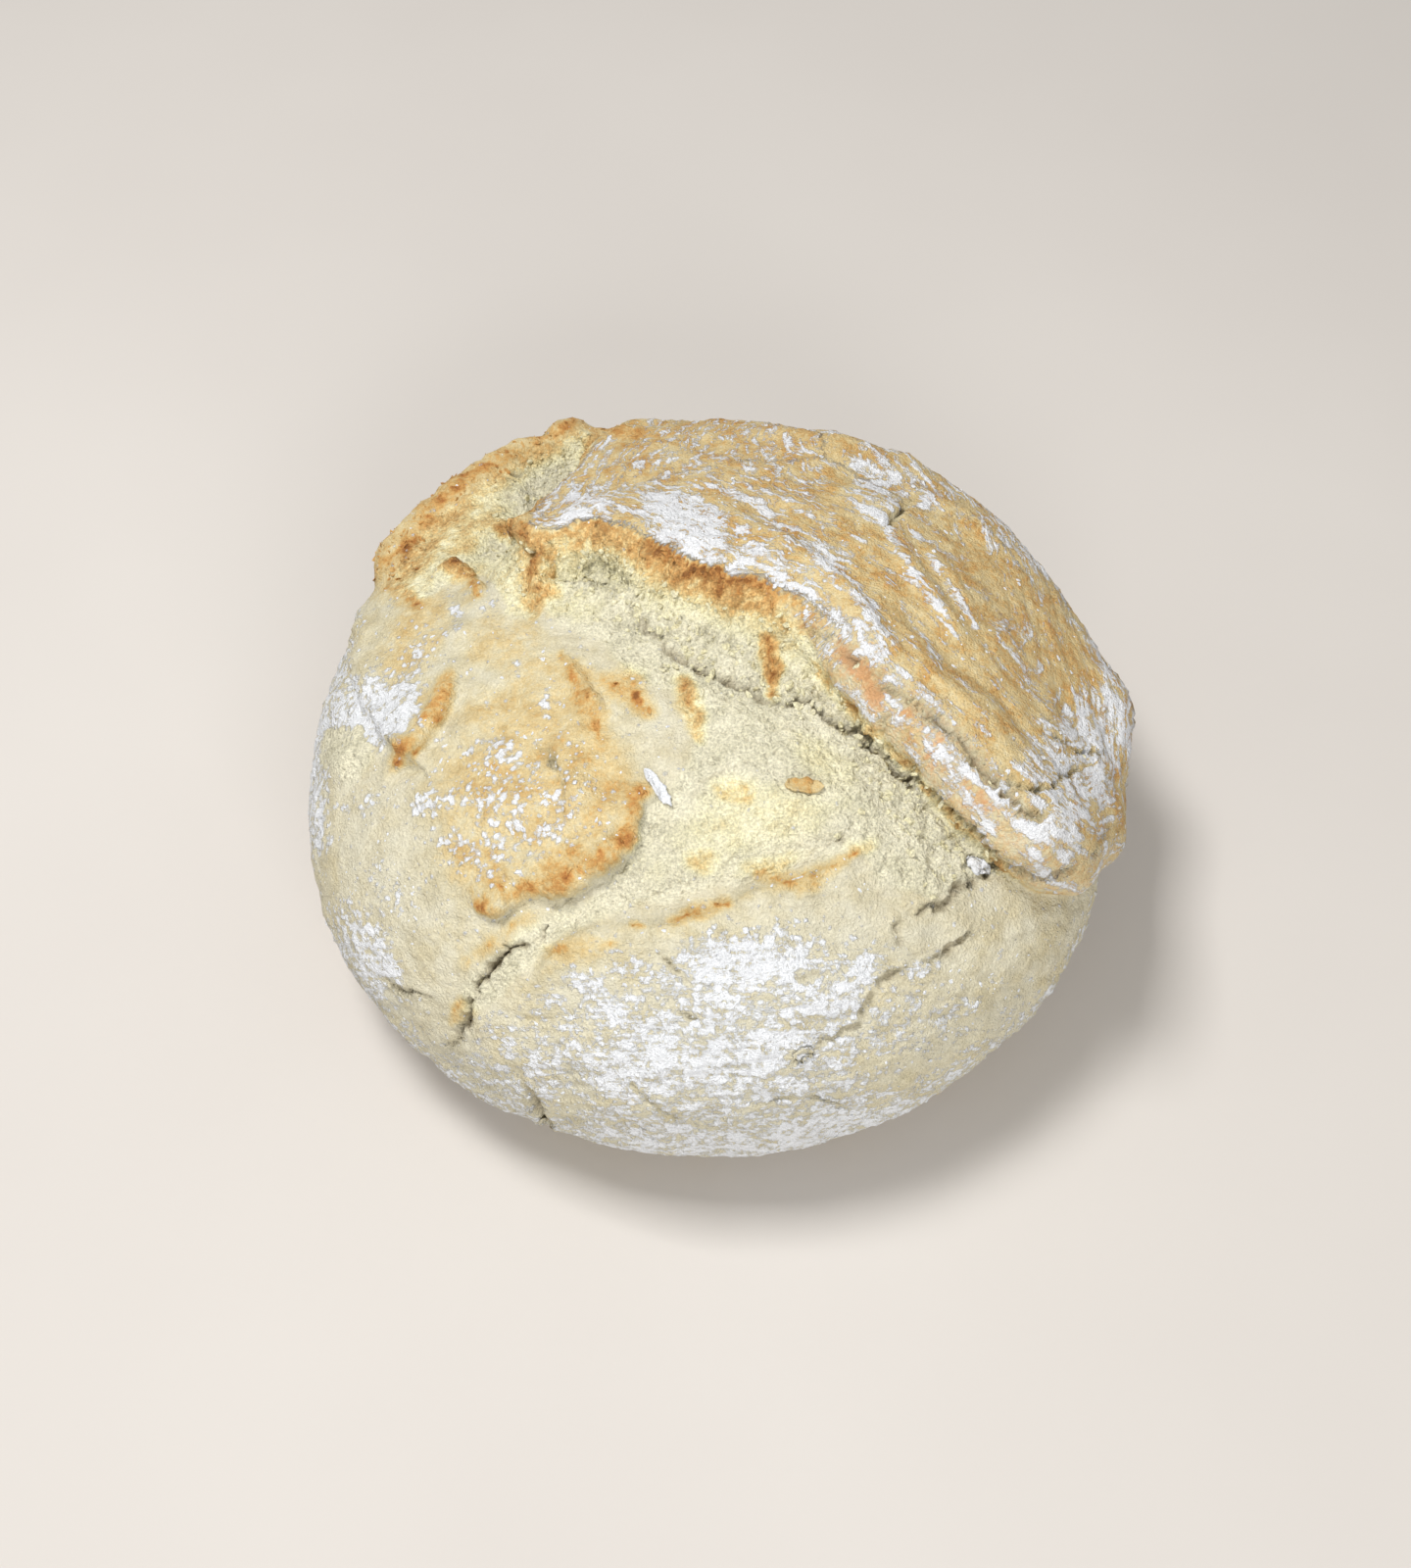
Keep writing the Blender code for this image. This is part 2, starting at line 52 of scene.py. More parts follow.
# The camera stands in front of the loaf and looks down on it, as a baker leans over the bench.
# What it sees square-on is the sheet that the loaf's marks are drawn on: a place on the sheet is
# its distance right of the sheet's middle and above it.

SHEET_MIDDLE = Vector((-4, 1, 29))
SIGHT_RISE = math.radians(57)
SIGHT_DISTANCE = 550
PICTURE_HEIGHT = 400
SENSOR = 36
CENTRING = Vector((0.5, 0.9, 0))

camera = bpy.data.objects.new("camera", bpy.data.cameras.new("camera"))
bpy.context.scene.collection.objects.link(camera)
camera.data.sensor_width = SENSOR
camera.data.lens = SENSOR * SIGHT_DISTANCE / PICTURE_HEIGHT
towards_camera = Vector((0, -math.cos(SIGHT_RISE), math.sin(SIGHT_RISE)))
camera.location = (SHEET_MIDDLE + CENTRING + towards_camera * SIGHT_DISTANCE) * MM
camera.rotation_euler = (math.pi / 2 - SIGHT_RISE, 0, 0)
bpy.context.scene.camera = camera
bpy.context.scene.view_settings.view_transform = "Standard"


# The loaf: one piece of wheat dough, shaped by hand, proved in flour and baked on a hot floor.
# Its skin tore as it rose: a flap lifted off the crumb, and its edges browned. Everything here is
# one mesh, so the crust, the torn crumb and the browned crags run into each other as baked.

# The risen dough: how far its plan reaches at every 30 degrees from +X, and its side profile
PLAN_REACH = (95, 97, 99, 97, 97, 99, 102, 104, 102, 99, 98, 98)
WAIST_HEIGHT = 37
CROWN_RISE = 57
BELLY_DROP = 58
PROFILE_FULLNESS = 2.3
BASE_SOFTNESS = 1.5

FRONT = 1
BACK = -1

# Cells along each side of the cage, and how strongly they gather on the torn side (less is more)
CAGE_CELLS = 128
GATHER = 0.58

# How a mark's line is followed: the step along it, how far its turns are smoothed, and the distance
# past which the surface follows the line as a whole
LINE_STEP = 1.0
TURN_SMOOTHING = 2.0
WHOLE_LINE_FROM = 12.0
POINTS_AT_ONCE = 8000

# The crust's unevenness: the noise's size and how far it moves the surface, a torn edge, the share of
# a lip's height or an outline on the sheet. It has some layers and fades out towards the base.
LUMPS = (30, 1.1)
PIMPLES = (8, 0.55)
TEETH = (5, 1.6)
FINE_TEETH = (2.6, 0.4)
LIP_SWAY = (6, 0.5)
OUTLINE_WANDER = (7, 1.5)
NOISE_LAYERS = 3
FOOT_FADE = 12

# How often the points slide to even out their cells, and how far from the flap's edge and how often
# the mesh is then softened, so that its crest has no zigzag
EVENING_ROUNDS = 30
EDGE_SOFTENED = 4.5
SOFTENING_ROUNDS = 4

# How far the browning of a torn edge fades, in from its crest and out past it
BROWN_FADE = (3.4, 1.6)

# Cracks: the share of their cross-section's width, the noise that they wander by, the size of the
# stretches where their sides partly hold together, and the half width of their open bottom, which is
# sunk and painted dark as the shade in it
CRACK_NARROWING = 0.42
CRACK_WANDER = (3.0, 1.1)
CRACK_GAPS = 5
SLIT_HALF_WIDTH = 0.6

# Cross-sections, for a mark 1 mm high. Each row is a distance across the mark, positive on its left,
# then how far the crust there shifts across, and its height.
TORN_FLAP = (
    (75, 0, 0), (50, 0, 0.22), (30, 0, 0.5), (14, 0, 0.8), (5, 0, 0.97), (0, -0.06, 1),
    (-1.2, -0.16, 0.84), (-3.5, -0.2, 0.52), (-8, -0.28, 0.2), (-13, -0.2, 0), (-19, -0.1, -0.06),
    (-30, 0, 0), (-40, 0, 0),
)
ROLLED_FLAP = (
    (75, 0, 0), (50, 0, 0.2), (30, 0, 0.46), (19, 0, 0.62), (15, 0, 0.64), (10, 0, 0.9),
    (6, -0.02, 1.02), (2.5, -0.1, 1), (0, -0.28, 0.9), (-1.6, -0.4, 0.7), (-3, -0.44, 0.45),
    (-4.4, -0.34, 0.2), (-6.5, -0.12, -0.04), (-9, 0, -0.14), (-13, 0, -0.08), (-24, 0, 0),
    (-40, 0, 0),
)
RIM = (
    (34, 0, 0), (22, 0, 0.16), (12, 0, 0.5), (5, 0, 0.9), (1, 0, 1), (-1, -0.06, 0.86),
    (-4, -0.04, 0.45), (-10, 0, 0.1), (-18, 0, 0), (-24, 0, 0),
)
LIP = (
    (16, 0, 0), (9, 0, 0.28), (4, 0, 0.8), (1.5, 0, 1), (0, -0.25, 0.95), (-0.8, -0.35, 0.6),
    (-1.6, -0.2, 0.1), (-3, 0, -0.22), (-6, 0, -0.08), (-10, 0, 0),
)
SOFT_LIP = (
    (26, 0, 0), (15, 0, 0.3), (7, 0, 0.8), (3, 0, 1), (0, 0, 0.82), (-3, 0, 0.2), (-6, 0, -0.2),
    (-12, 0, -0.1), (-20, 0, 0),
)
CRACK = (
    (7, 0, 0), (4, 0, 0.12), (2, 0, -0.05), (0.8, 0, -0.7), (0, 0, -1), (-0.8, 0, -0.7), (-2, 0, -0.05),
    (-4, 0, 0.12), (-7, 0, 0),
)
CREST = (
    (7, 0, 0), (4, 0, 0.12), (2, 0, 0.7), (0, 0, 1), (-2, 0, 0.7), (-4, 0, 0.12), (-7, 0, 0),
)
TROUGH = (
    (18, 0, 0), (11, 0, -0.25), (5, 0, -0.8), (0, 0, -1), (-5, 0, -0.8), (-11, 0, -0.25), (-18, 0, 0),
)

FLAP_THICKNESS = 12

# The flap's edge. It climbs the far side to the notch, crosses the loaf and goes round its right side.
# Each point: right, up, the flap's lift there, and how far its edge rolls under.
FLAP_EDGE_BEHIND = (
    (40, -86, 0, 0), (36, -74, 1, 0), (37, -66, 2, 0), (34, -58, 2.5, 0), (35, -52, 3, 0),
)
FLAP_EDGE = (
    (-26, 89, 3, 0), (-29, 82, 3, 0), (-35, 74, 3.5, 0), (-41, 66, 4.5, 0), (-42, 60, 6.5, 0),
    (-36, 58, 8.5, 0), (-27, 60, 10, 0), (-18, 57, 11, 0), (-5, 50, 12, 0), (7, 46, 12, 0),
    (19, 42, 12, 0.25), (30, 36, 12.5, 0.6), (39, 28, 13, 1), (48, 18, 13.5, 1), (58, 9, 13.5, 1),
    (69, -4, 13.5, 1), (79, -14, 13, 1), (89, -19, 11, 1), (97, -16, 7, 1), (102, -9, 4.5, 0.8),
)
FLAP_EDGE_AROUND = (
    (-93, -8, 3, 0.5), (-90, -26, 3, 0.2), (-82, -44, 2, 0), (-68, -60, 1, 0), (-54, -72, 0, 0),
)

# The far rim of the tear, that stands up along the back left. Each point: right, up, and height.
RIM_EDGE = (
    (-87, 50, 0), (-81, 56, 7), (-73, 66, 8), (-64, 74.5, 9), (-53, 81, 10), (-42, 87, 13),
    (-34, 91.5, 14), (-29, 93, 0),
)

# Broad forms on the bare dough, each with its cross-section, its width scale, how far its crest
# browned, and its points: right, up and height
BROAD_MARKS = {
    "cleft between rim and flap": (TROUGH, 0.9, 0, (
        (-66, 46, 1), (-60, 56, 5), (-52, 68, 8), (-43, 77, 9), (-35, 84, 7), (-29, 89, 3))),
    "notch where the cleft runs over the back": (CRACK, 1.8, 0, (
        (-37, 80, 1), (-31, 86, 4), (-27, 90, 7), (-25, 93, 8))),
    "rim behind the cleft": (RIM, 1, 0.3, RIM_EDGE),
}

# Swellings: right, up, half length, half width, turn in degrees, and height
BROAD_SWELLS = (
    (18, 6, 42, 22, -38, 3), (-42, 2, 30, 26, 20, 3), (12, -52, 48, 26, 0, 2),
    (100, 17, 18, 14, 60, 6), (36, 84, 40, 14, -15, 3),
)

# Edges, cracks and creases on the risen crust
MARKS = {
    "pocket under the flap's left end": (TROUGH, 0.24, 0, (
        (-41, 51, 0), (-38, 54, 3.4), (-30, 55, 5), (-23, 52.5, 4), (-19, 49, 0))),
    "fissure along the foot of the flap": (CRACK, 1.2, 0, (
        (-25, 45, 0), (-18, 42.5, 1.2), (-12, 37, 1.4), (-7, 33, 1.4), (1, 29, 2.4), (8, 26, 1.8),
        (15, 22, 1.4), (20, 20, 1.6), (27, 21, 2.8), (32, 16, 3.4), (38, 14, 3), (42, 10, 4),
        (51, 1.5, 4.4), (58, -2.5, 4), (65, -9.5, 3.4), (70.5, -14.5, 2.2), (76.5, -21, 3),
        (86, -24.5, 4), (92, -22, 3), (101, -14, 1), (105, -9, 0))),
    "browned edge of the left crust": (LIP, 1, 0.86, (
        (-60, -32, 0), (-55, -31, 2.8), (-49.5, -29, 2.8), (-44, -27, 3.2), (-36, -26, 3.2),
        (-30, -23, 3.8), (-24.5, -19.5, 4.2), (-20, -15, 4.4), (-18.5, -10, 3.8), (-17, -5.5, 2.2),
        (-13, -2.5, 0.8), (-10, 0, 0))),
    "thin step in the left crust": (LIP, 0.7, 0.45, (
        (-41, 12, 0), (-37, 7, 1.3), (-35, 0, 1.5), (-34.5, -7, 1.1), (-36, -12, 0))),
    "pleat left of the fissure": (LIP, 0.7, 0.6, (
        (-27, 17, 0), (-28, 21, 1.6), (-32, 27, 2), (-36, 33, 0))),
    "folded corner, right side": (LIP, 0.8, 0.8, (
        (-76, 6.5, 2.2), (-72, 11, 3.6), (-69, 16, 3.6), (-66, 21, 2.6), (-64.5, 27, 1),
        (-63.5, 30, 0))),
    "folded corner, left side": (LIP, 0.7, 0, (
        (-85, 21, 0), (-84, 18, 1), (-82, 14, 1.8), (-79, 10.5, 2.2), (-75.5, 7, 2.4))),
    "step down to the floured side": (LIP, 1, 0, (
        (-85, 54, 0), (-86.5, 48, 1.2), (-88, 40, 1.8), (-88, 30, 2.2), (-87, 24, 2), (-85, 19, 1))),
    "torn groove in front": (TROUGH, 0.45, 0, (
        (-38, -33, 1), (-30, -33, 2), (-18, -31.5, 2), (-5, -29, 1.8), (6, -26, 1.8), (17.5, -22, 1.8),
        (27.5, -19, 1.4), (38, -15.5, 0))),
    "edge of the front crust": (LIP, 0.8, 0.22, (
        (38, -16.5, 0), (32, -21, 1.6), (25.5, -24, 2.2), (17.5, -25.5, 2.2), (10, -29, 1.2),
        (4, -32.5, 1.8), (-5, -35.5, 1.8), (-15, -36, 1.4), (-25, -37.5, 1.6), (-34, -40.5, 1.8),
        (-40, -46, 1.6), (-44, -50, 0))),
    "crack down the left front": (CRACK, 1.1, 0, (
        (-36, -30.5, 1), (-40, -34.5, 2), (-42, -39, 1.8), (-50, -42.5, 2.4), (-54.5, -47, 2.8),
        (-59, -53.5, 1.8), (-60.5, -58, 1.4), (-61, -61.5, 2), (-64, -66, 1.2), (-67, -69, 0))),
    "crack down the right front": (CRACK, 1.1, 0, (
        (72.5, -22.5, 2), (66, -26, 1.6), (62, -30.5, 1.8), (58, -32, 1.4), (52.5, -32.5, 1.1),
        (50, -36, 1.1), (50, -40.5, 1.1), (53, -44, 1.3), (49, -48, 1.3), (44, -52.5, 1.3),
        (42, -57.5, 1), (39.5, -61, 1.2), (32.5, -65.5, 0.8), (25, -69, 1), (20, -74, 0))),
    "notch in the front foot": (CRACK, 1.6, 0, (
        (-47, -75, 0), (-44, -80.5, 2.4), (-42, -85, 4.5), (-41, -89, 4.5))),
    "curl at the flap's left end": (CREST, 0.6, 0.9, (
        (-40.5, 60.5, 2), (-42, 56, 3.6), (-42, 50, 3.4), (-41, 45.5, 0))),
    "tongue of crust beside the cleft": (LIP, 0.7, 0.8, (
        (-57, 64, 0), (-52.5, 63.5, 2), (-47.5, 63.5, 2.6), (-43, 61, 2.4), (-40, 59.5, 0))),
    "spikes of crust at the left": (LIP, 0.6, 0.85, (
        (-56, 45, 0), (-57.5, 49.5, 2.2), (-60.5, 52.5, 1.6), (-64, 56, 2), (-66, 58, 0))),
    "crease along the flap": (SOFT_LIP, 0.7, 0, (
        (49, 30, 0), (45.5, 38, 1.8), (41, 44, 2.4), (35, 51, 2.8), (28, 56.5, 2.8), (21, 61, 2.4),
        (14, 65, 2), (6.5, 69.5, 1.4), (-1, 73, 0))),
    "groove behind the rolled edge": (CRACK, 1.4, 0, (
        (22, 43.5, 0), (28, 39, 1.2), (38, 33, 2), (48.5, 23, 2.4), (60, 16, 2.6), (71.5, 4, 2.6),
        (80, -5, 2), (86, -7, 1.4), (92, -3, 0))),
    "cross crack in the rolled edge": (CRACK, 0.9, 0, (
        (50, 24, 0), (47.5, 20, 1.6), (46, 16.5, 1.6), (44, 12, 0))),
    "wrinkle at the flap's end": (CRACK, 0.9, 0, (
        (74, 6, 0), (79, 1, 1.4), (86, -1, 1.6), (94, 3, 1), (98, 6, 0))),
    "second wrinkle at the flap's end": (CRACK, 0.9, 0, (
        (86, 14, 0), (92, 10, 1.4), (98, 8, 1.6), (103, 9, 0))),
    "crevice in the flap": (CRACK, 1.2, 0, (
        (45, 64, 0), (49, 69, 2.2), (52, 72, 1.4), (55, 75, 0))),
    "long ridge on the flap": (CREST, 1, 0, (
        (48, 63, 0.6), (53, 54, 2), (58.5, 46.5, 2.2), (64.5, 39, 1.4), (69, 32, 0))),
    "second ridge on the flap": (CREST, 0.7, 0, (
        (54, 64, 0), (60, 55, 1.3), (65.5, 47, 1.3), (69, 40, 0))),
    "floured shoulder of the flap": (SOFT_LIP, 0.5, 0, (
        (86, 46, 0), (79, 55, 1), (71.5, 63, 1.6), (66, 68, 1.8), (60, 72, 1.8), (50, 78, 0))),
}

# Hairline cracks, that only the fine surface shows
HAIR_CRACKS = {
    "left of the front flour": (CRACK, 0.6, 0, (
        (-14, -42, 0), (-10, -45, 1.3), (-7, -48, 1.1), (-4, -52, 0))),
    "in the front flour": (CRACK, 0.5, 0, ((-9, -56, 0), (-4, -60, 1), (1, -62, 0.9), (7, -63, 0))),
    "right of the front flour": (CRACK, 0.5, 0, ((20, -50, 0), (27, -49, 0.9), (35, -46, 0))),
    "down the left side": (CRACK, 0.6, 0, (
        (-83, -49, 0), (-80, -52, 1.2), (-74, -53.5, 1.2), (-69, -55, 0))),
    "low on the right": (CRACK, 0.6, 0, (
        (70, -33, 0), (67, -39, 1.4), (60, -44, 1.2), (54, -46, 0))),
    "above the front foot": (CRACK, 0.6, 0, (
        (10, -83, 0), (20, -80, 1.1), (31, -80.5, 1.1), (38, -84, 0))),
    "beside the front foot": (CRACK, 0.5, 0, ((-20, -74, 0), (-16, -79, 1), (-9, -84, 1), (-6, -88, 0))),
    "across the left crust": (CRACK, 0.6, 0, (
        (-44, 12, 0), (-39, 7, 1.5), (-35.5, -1, 1.5), (-34, -10, 0))),
    "behind the torn islands": (CRACK, 0.5, 0, ((-4, -4, 0), (-1, 0, 1), (3, 2.5, 1), (6, 3, 0))),
    "below the torn islands": (CRACK, 0.5, 0, (
        (22, -19, 0), (29, -17.5, 1.2), (35, -13, 1.1), (38, -10, 0))),
}

# The same on the far side, where right and up are as seen from there
FAR_MARKS = {
    "tear that runs down behind the cleft": (CRACK, 1.1, 0, (
        (35, -50, 3), (34, -57, 2.6), (37, -65, 2.2), (36, -74, 1.4), (40, -84, 0))),
    "wrinkle behind": (SOFT_LIP, 0.7, 0.3, (
        (-62, -42, 0), (-48, -36, 1.4), (-32, -34, 1.8), (-16, -38, 1.4), (-4, -46, 0))),
    "crack behind": (CRACK, 1.1, 0, (
        (-30, -50, 0), (-22, -58, 1.6), (-24, -66, 1.6), (-14, -76, 1.2), (-16, -86, 0))),
    "crack at the far left": (CRACK, 1, 0, (
        (62, -28, 0), (68, -38, 1.4), (64, -48, 1.6), (72, -58, 1), (68, -66, 0))),
}

SWELLS = (
    (-35, 90, 11, 4, 35, 4.5), (-18, 90, 9, 5, -10, 2), (44, 71, 10, 8, -30, 2.4),
    (86, -12, 10, 8, -30, 3), (76, -4, 6, 5, -40, 1.6), (59, 10, 9, 4, -45, 1.2),
    (100, 6, 8, 10, 0, 1.5), (-92, 6, 6, 5, 0, 3), (-76, 16, 6, 9, 0, 1.6),
    (-50, -8, 22, 14, 20, 1.6), (30, -3, 18, 5, 15, 1.2), (20, -9, 12, 6, 15, 1.2),
)


def spline(a, b, c, d, f):
    """The smooth way from b to c as f goes from 0 to 1, with a before them and d after."""
    square, cube = 2 * a - 5 * b + 4 * c - d, 3 * b - a - 3 * c + d
    return 0.5 * (2 * b + (c - a) * f + square * f**2 + cube * f**3)


def between(values, place):
    """A smooth periodic reading of a ring of values at places counted in values."""
    ring = np.asarray(values, float)
    at = np.floor(place).astype(int)
    return spline(*(ring[(at + k) % len(ring)] for k in (-1, 0, 1, 2)), place - at)


def smooth_curve(points, step):
    """Points along a smooth curve through these ones, about step apart in their first columns."""
    rows = np.asarray(points, float)
    rows = np.vstack([2 * rows[0] - rows[1], rows, 2 * rows[-1] - rows[-2]])
    found = []
    for a, b, c, d in zip(rows, rows[1:], rows[2:], rows[3:]):
        count = max(2, int(np.linalg.norm((c - b)[:3]) / step) + 1)
        found.append(spline(a, b, c, d, (np.arange(count) / count)[:, None]))
    return np.vstack([*found, rows[-2:-1]])


def uneven(points, size):
    """Noise between about -1 and 1 at these points, with lumps of about this size."""
    return np.array([noise.fractal(Vector(p), 0.85, 2.2, NOISE_LAYERS) for p in points / size])


def folds(points, size):
    """Noise from 0 to about 1 with sharp ridges, like stretched dough. The size may differ by axis."""
    return np.array([1 - abs(noise.noise(Vector(p))) * 1.8 for p in points / np.asarray(size, float)])


def bubbles(points, size):
    """Noise from 0 to 1 that is highest at the middle of round pits of about this size."""
    nearest = np.array([noise.voronoi(Vector(p))[0][0] for p in points / size])
    return np.exp(-((nearest / 0.38) ** 2))


def teeth(points):
    """Small steps aside that make a line's edge uneven, as torn crust is."""
    return uneven(points, TEETH[0]) * TEETH[1]


def section_table(section, finest=0.1):
    """A cross-section as three rows that rise across it: the place across, the shift and the height."""
    curve = smooth_curve(section, finest)
    return curve[np.argsort(curve[:, 0])].T


def unit(vectors):
    return vectors / np.maximum(np.linalg.norm(vectors, axis=-1, keepdims=True), 1e-9)


def eased(value, low, high):
    """0 below low, 1 above high, and a soft step between them. With low above high it falls."""
    f = np.clip((value - low) / (high - low), 0, 1)
    return f * f * (3 - 2 * f)


def gathered(directions):
    """Directions drawn towards the torn side, which gives it more cells."""
    pole = np.array(towards_camera)
    along = np.clip(directions @ pole, -1 + 1e-9, 1)
    aside = unit(directions - along[:, None] * pole)
    half = GATHER * np.sqrt((1 - along) / (1 + along))
    return pole * ((1 - half**2) / (1 + half**2))[:, None] + aside * (2 * half / (1 + half**2))[:, None]


def risen_dough(directions):
    """Where the bare dough's surface lies in each direction from its core."""
    x, y, z = directions.T
    reach = between(PLAN_REACH, np.arctan2(y, x) / math.radians(30))
    level = np.hypot(x, y)
    full = (level**PROFILE_FULLNESS + np.abs(z)**PROFILE_FULLNESS) ** (-1 / PROFILE_FULLNESS)
    height = WAIST_HEIGHT + np.where(z > 0, CROWN_RISE, BELLY_DROP) * full * z
    return np.stack([reach * full * x, reach * full * y, height], axis=1)


def flat_base(points):
    """Sets what is under the bench on it, with a little softness at the foot's edge."""
    z = points[:, 2]
    points[:, 2] = np.where(z < 0, 0, np.where(z < BASE_SOFTNESS, z * z / BASE_SOFTNESS, z))
    return points


def read(items, name, columns, kind=float):
    """What a mesh's items say under this name, in a row for each."""
    values = np.empty(len(items) * columns, kind)
    items.foreach_get(name, values)
    return values.reshape(-1, columns)


class Loaf:
    """The mesh while it is shaped: its points in millimetres, their normals and a way to lay marks. It
    also keeps, for each point, how browned it is and how open a crack there, and how far it lies from
    the flap's edge, along it and how much that edge rolls."""

    def __init__(self, name, cells):
        bpy.ops.mesh.primitive_cube_add(size=2)
        self.object = bpy.context.object
        self.object.name = self.object.data.name = name
        self.mesh = self.object.data
        cage = bmesh.new()
        cage.from_mesh(self.mesh)
        bmesh.ops.subdivide_edges(cage, edges=cage.edges[:], cuts=cells - 1, use_grid_fill=True)
        cage.to_mesh(self.mesh)
        cage.free()
        self.cube = read(self.mesh.vertices, "co", 3)
        self.faces = read(self.mesh.polygons, "vertices", 4, np.int32)
        self.edges = read(self.mesh.edges, "vertices", 2, np.int32)
        self.points = risen_dough(gathered(unit(np.tan(self.cube * math.pi / 4))))
        kept = ("browned", "cracked", "place", "run", "roll")
        self.fields = {name: np.zeros(len(self.points)) for name in kept}
        self.unwrap()
        self.settle()

    def unwrap(self):
        """Lays the cage's six sides side by side on the map, three to a row."""
        middles = self.cube[self.faces].mean(1)
        axis = np.abs(middles).argmax(1)
        side = axis + 3 * (middles[np.arange(len(axis)), axis] > 0)
        across, upward = (axis + 1) % 3, (axis + 2) % 3
        corner = self.cube[self.faces]
        flat = np.stack([np.take_along_axis(corner, way[:, None, None], 2)[..., 0]
                         for way in (across, upward)], axis=-1)
        margin = 0.97
        tile = np.stack([side % 3, side // 3], axis=-1)[:, None, :]
        spots = (tile + 0.5 + flat * margin / 2) / (3, 2)
        layer = self.mesh.uv_layers.new(name="OFBake")
        layer.data.foreach_set("uv", spots.astype(np.float32).ravel())

    def settle(self):
        """Writes the points to the mesh and reads its normals."""
        self.mesh.vertices.foreach_set("co", (self.points * MM).ravel())
        self.mesh.update()
        self.normals = read(self.mesh.vertex_normals, "vector", 3, np.float32).astype(float)
        self.tree = BVHTree.FromPolygons(self.points.tolist(), self.faces.tolist())

    def even_out(self, rounds):
        """Slides the points along the surface, so that steep slopes have cells as small as the rest."""
        a, b = self.edges.T
        ends, others = np.concatenate([a, b]), np.concatenate([b, a])
        share = np.bincount(ends)[:, None]

        def pull():
            """The way from each point to the middle of its neighbours."""
            sums = [np.bincount(ends, self.points[others, k]) for k in range(3)]
            return np.stack(sums, axis=1) / share - self.points

        before = self.points
        for _ in range(rounds):
            way = pull()
            self.points = self.points + 0.5 * (way - (way * self.normals).sum(1)[:, None] * self.normals)
        found = [self.tree.find_nearest(place) for place in self.points]
        self.points = np.array([hit[0] for hit in found])
        corners = self.faces[[hit[2] for hit in found]]
        weight = 1 / (((before[corners] - self.points[:, None]) ** 2).sum(2) + 1e-3)
        weight /= weight.sum(1)[:, None]
        for name, values in self.fields.items():
            self.fields[name] = (values[corners] * weight).sum(1)
        by_edge = 0.5 * np.exp(-((self.fields["place"] / EDGE_SOFTENED) ** 2))[:, None]
        for _ in range(SOFTENING_ROUNDS):
            self.points += by_edge * pull()
        self.settle()

    def laid(self, right, up, facing=FRONT):
        """The point of the surface that is seen at this place of the sheet. The sheet of the far side
        is the same one turned half round the loaf. A place past the outline takes the nearest edge."""
        sight = Vector((0, facing * math.cos(SIGHT_RISE), -math.sin(SIGHT_RISE)))
        sheet_up = Vector((0, facing * math.sin(SIGHT_RISE), math.cos(SIGHT_RISE)))
        middle = Vector((facing * SHEET_MIDDLE.x, facing * SHEET_MIDDLE.y, SHEET_MIDDLE.z))
        eye = middle - sight * SIGHT_DISTANCE
        way = (middle + Vector((facing * right, 0, 0)) + sheet_up * up - eye).normalized()
        hit = self.tree.ray_cast(eye, way)[0]
        if hit is None:
            stops = (SIGHT_DISTANCE + step for step in range(-120, 121, 4))
            near = (self.tree.find_nearest(eye + way * stop) for stop in stops)
            hit = min(near, key=lambda found: found[3])[0]
        return hit

    def line(self, *stretches):
        """A mark's points laid on the surface, as a dense line, with their other columns. A stretch is
        the sheet that its points are on, and the points."""
        rows = [(*self.laid(p[0], p[1], facing), *p[2:]) for facing, points in stretches for p in points]
        return smooth_curve(rows, LINE_STEP)

    def across(self, line, reach):
        """For the points within reach of a line: which they are, their distance across it with its left
        side positive, the line's own columns beside them, and the way to its left."""
        spots = line[:, :3]
        low, high = spots.min(0) - reach, spots.max(0) + reach
        index = np.nonzero(np.all((self.points > low) & (self.points < high), axis=1))[0]
        heading = unit(np.gradient(spots, axis=0))
        some = np.array_split(index, len(index) // POINTS_AT_ONCE + 1)
        found = [self.beside(part, spots, line[:, 3:], heading) for part in some]
        return index, *(np.concatenate(column) for column in zip(*found))

    def beside(self, index, spots, values, heading):
        here, normal = self.points[index], self.normals[index]
        squares = (here**2).sum(1)[:, None] + (spots**2).sum(1)[None, :] - 2 * here @ spots.T
        squares = np.maximum(squares, 1e-6)
        nearest = squares.argmin(1)
        tangent = heading[nearest]
        offset = here - spots[nearest]
        run = np.clip((offset * tangent).sum(1), -LINE_STEP, LINE_STEP)
        offset -= run[:, None] * tangent
        distance = np.linalg.norm(offset, axis=1)
        side = np.sign((offset * np.cross(normal, tangent)).sum(1))
        weight = (squares + TURN_SMOOTHING**2) ** -3
        share = weight.sum(1)[:, None]
        left = unit(np.cross(normal, weight @ heading / share))
        # Farther off, a distance averaged along the line takes over, because the exact one would crease
        # the surface where two stretches of a bent line are equally near. The average of a straight
        # line's inverse sixth powers is 3 pi / 8 of the distance's inverse fifth power.
        average = (LINE_STEP * (squares**-3).sum(1) * 8 / (3 * math.pi)) ** -0.2
        blend = np.clip(distance / WHOLE_LINE_FROM - 0.5, 0, 1)
        distance += (np.maximum(average, 0.8 * distance) - distance) * blend
        return side * distance, weight @ values / share, left

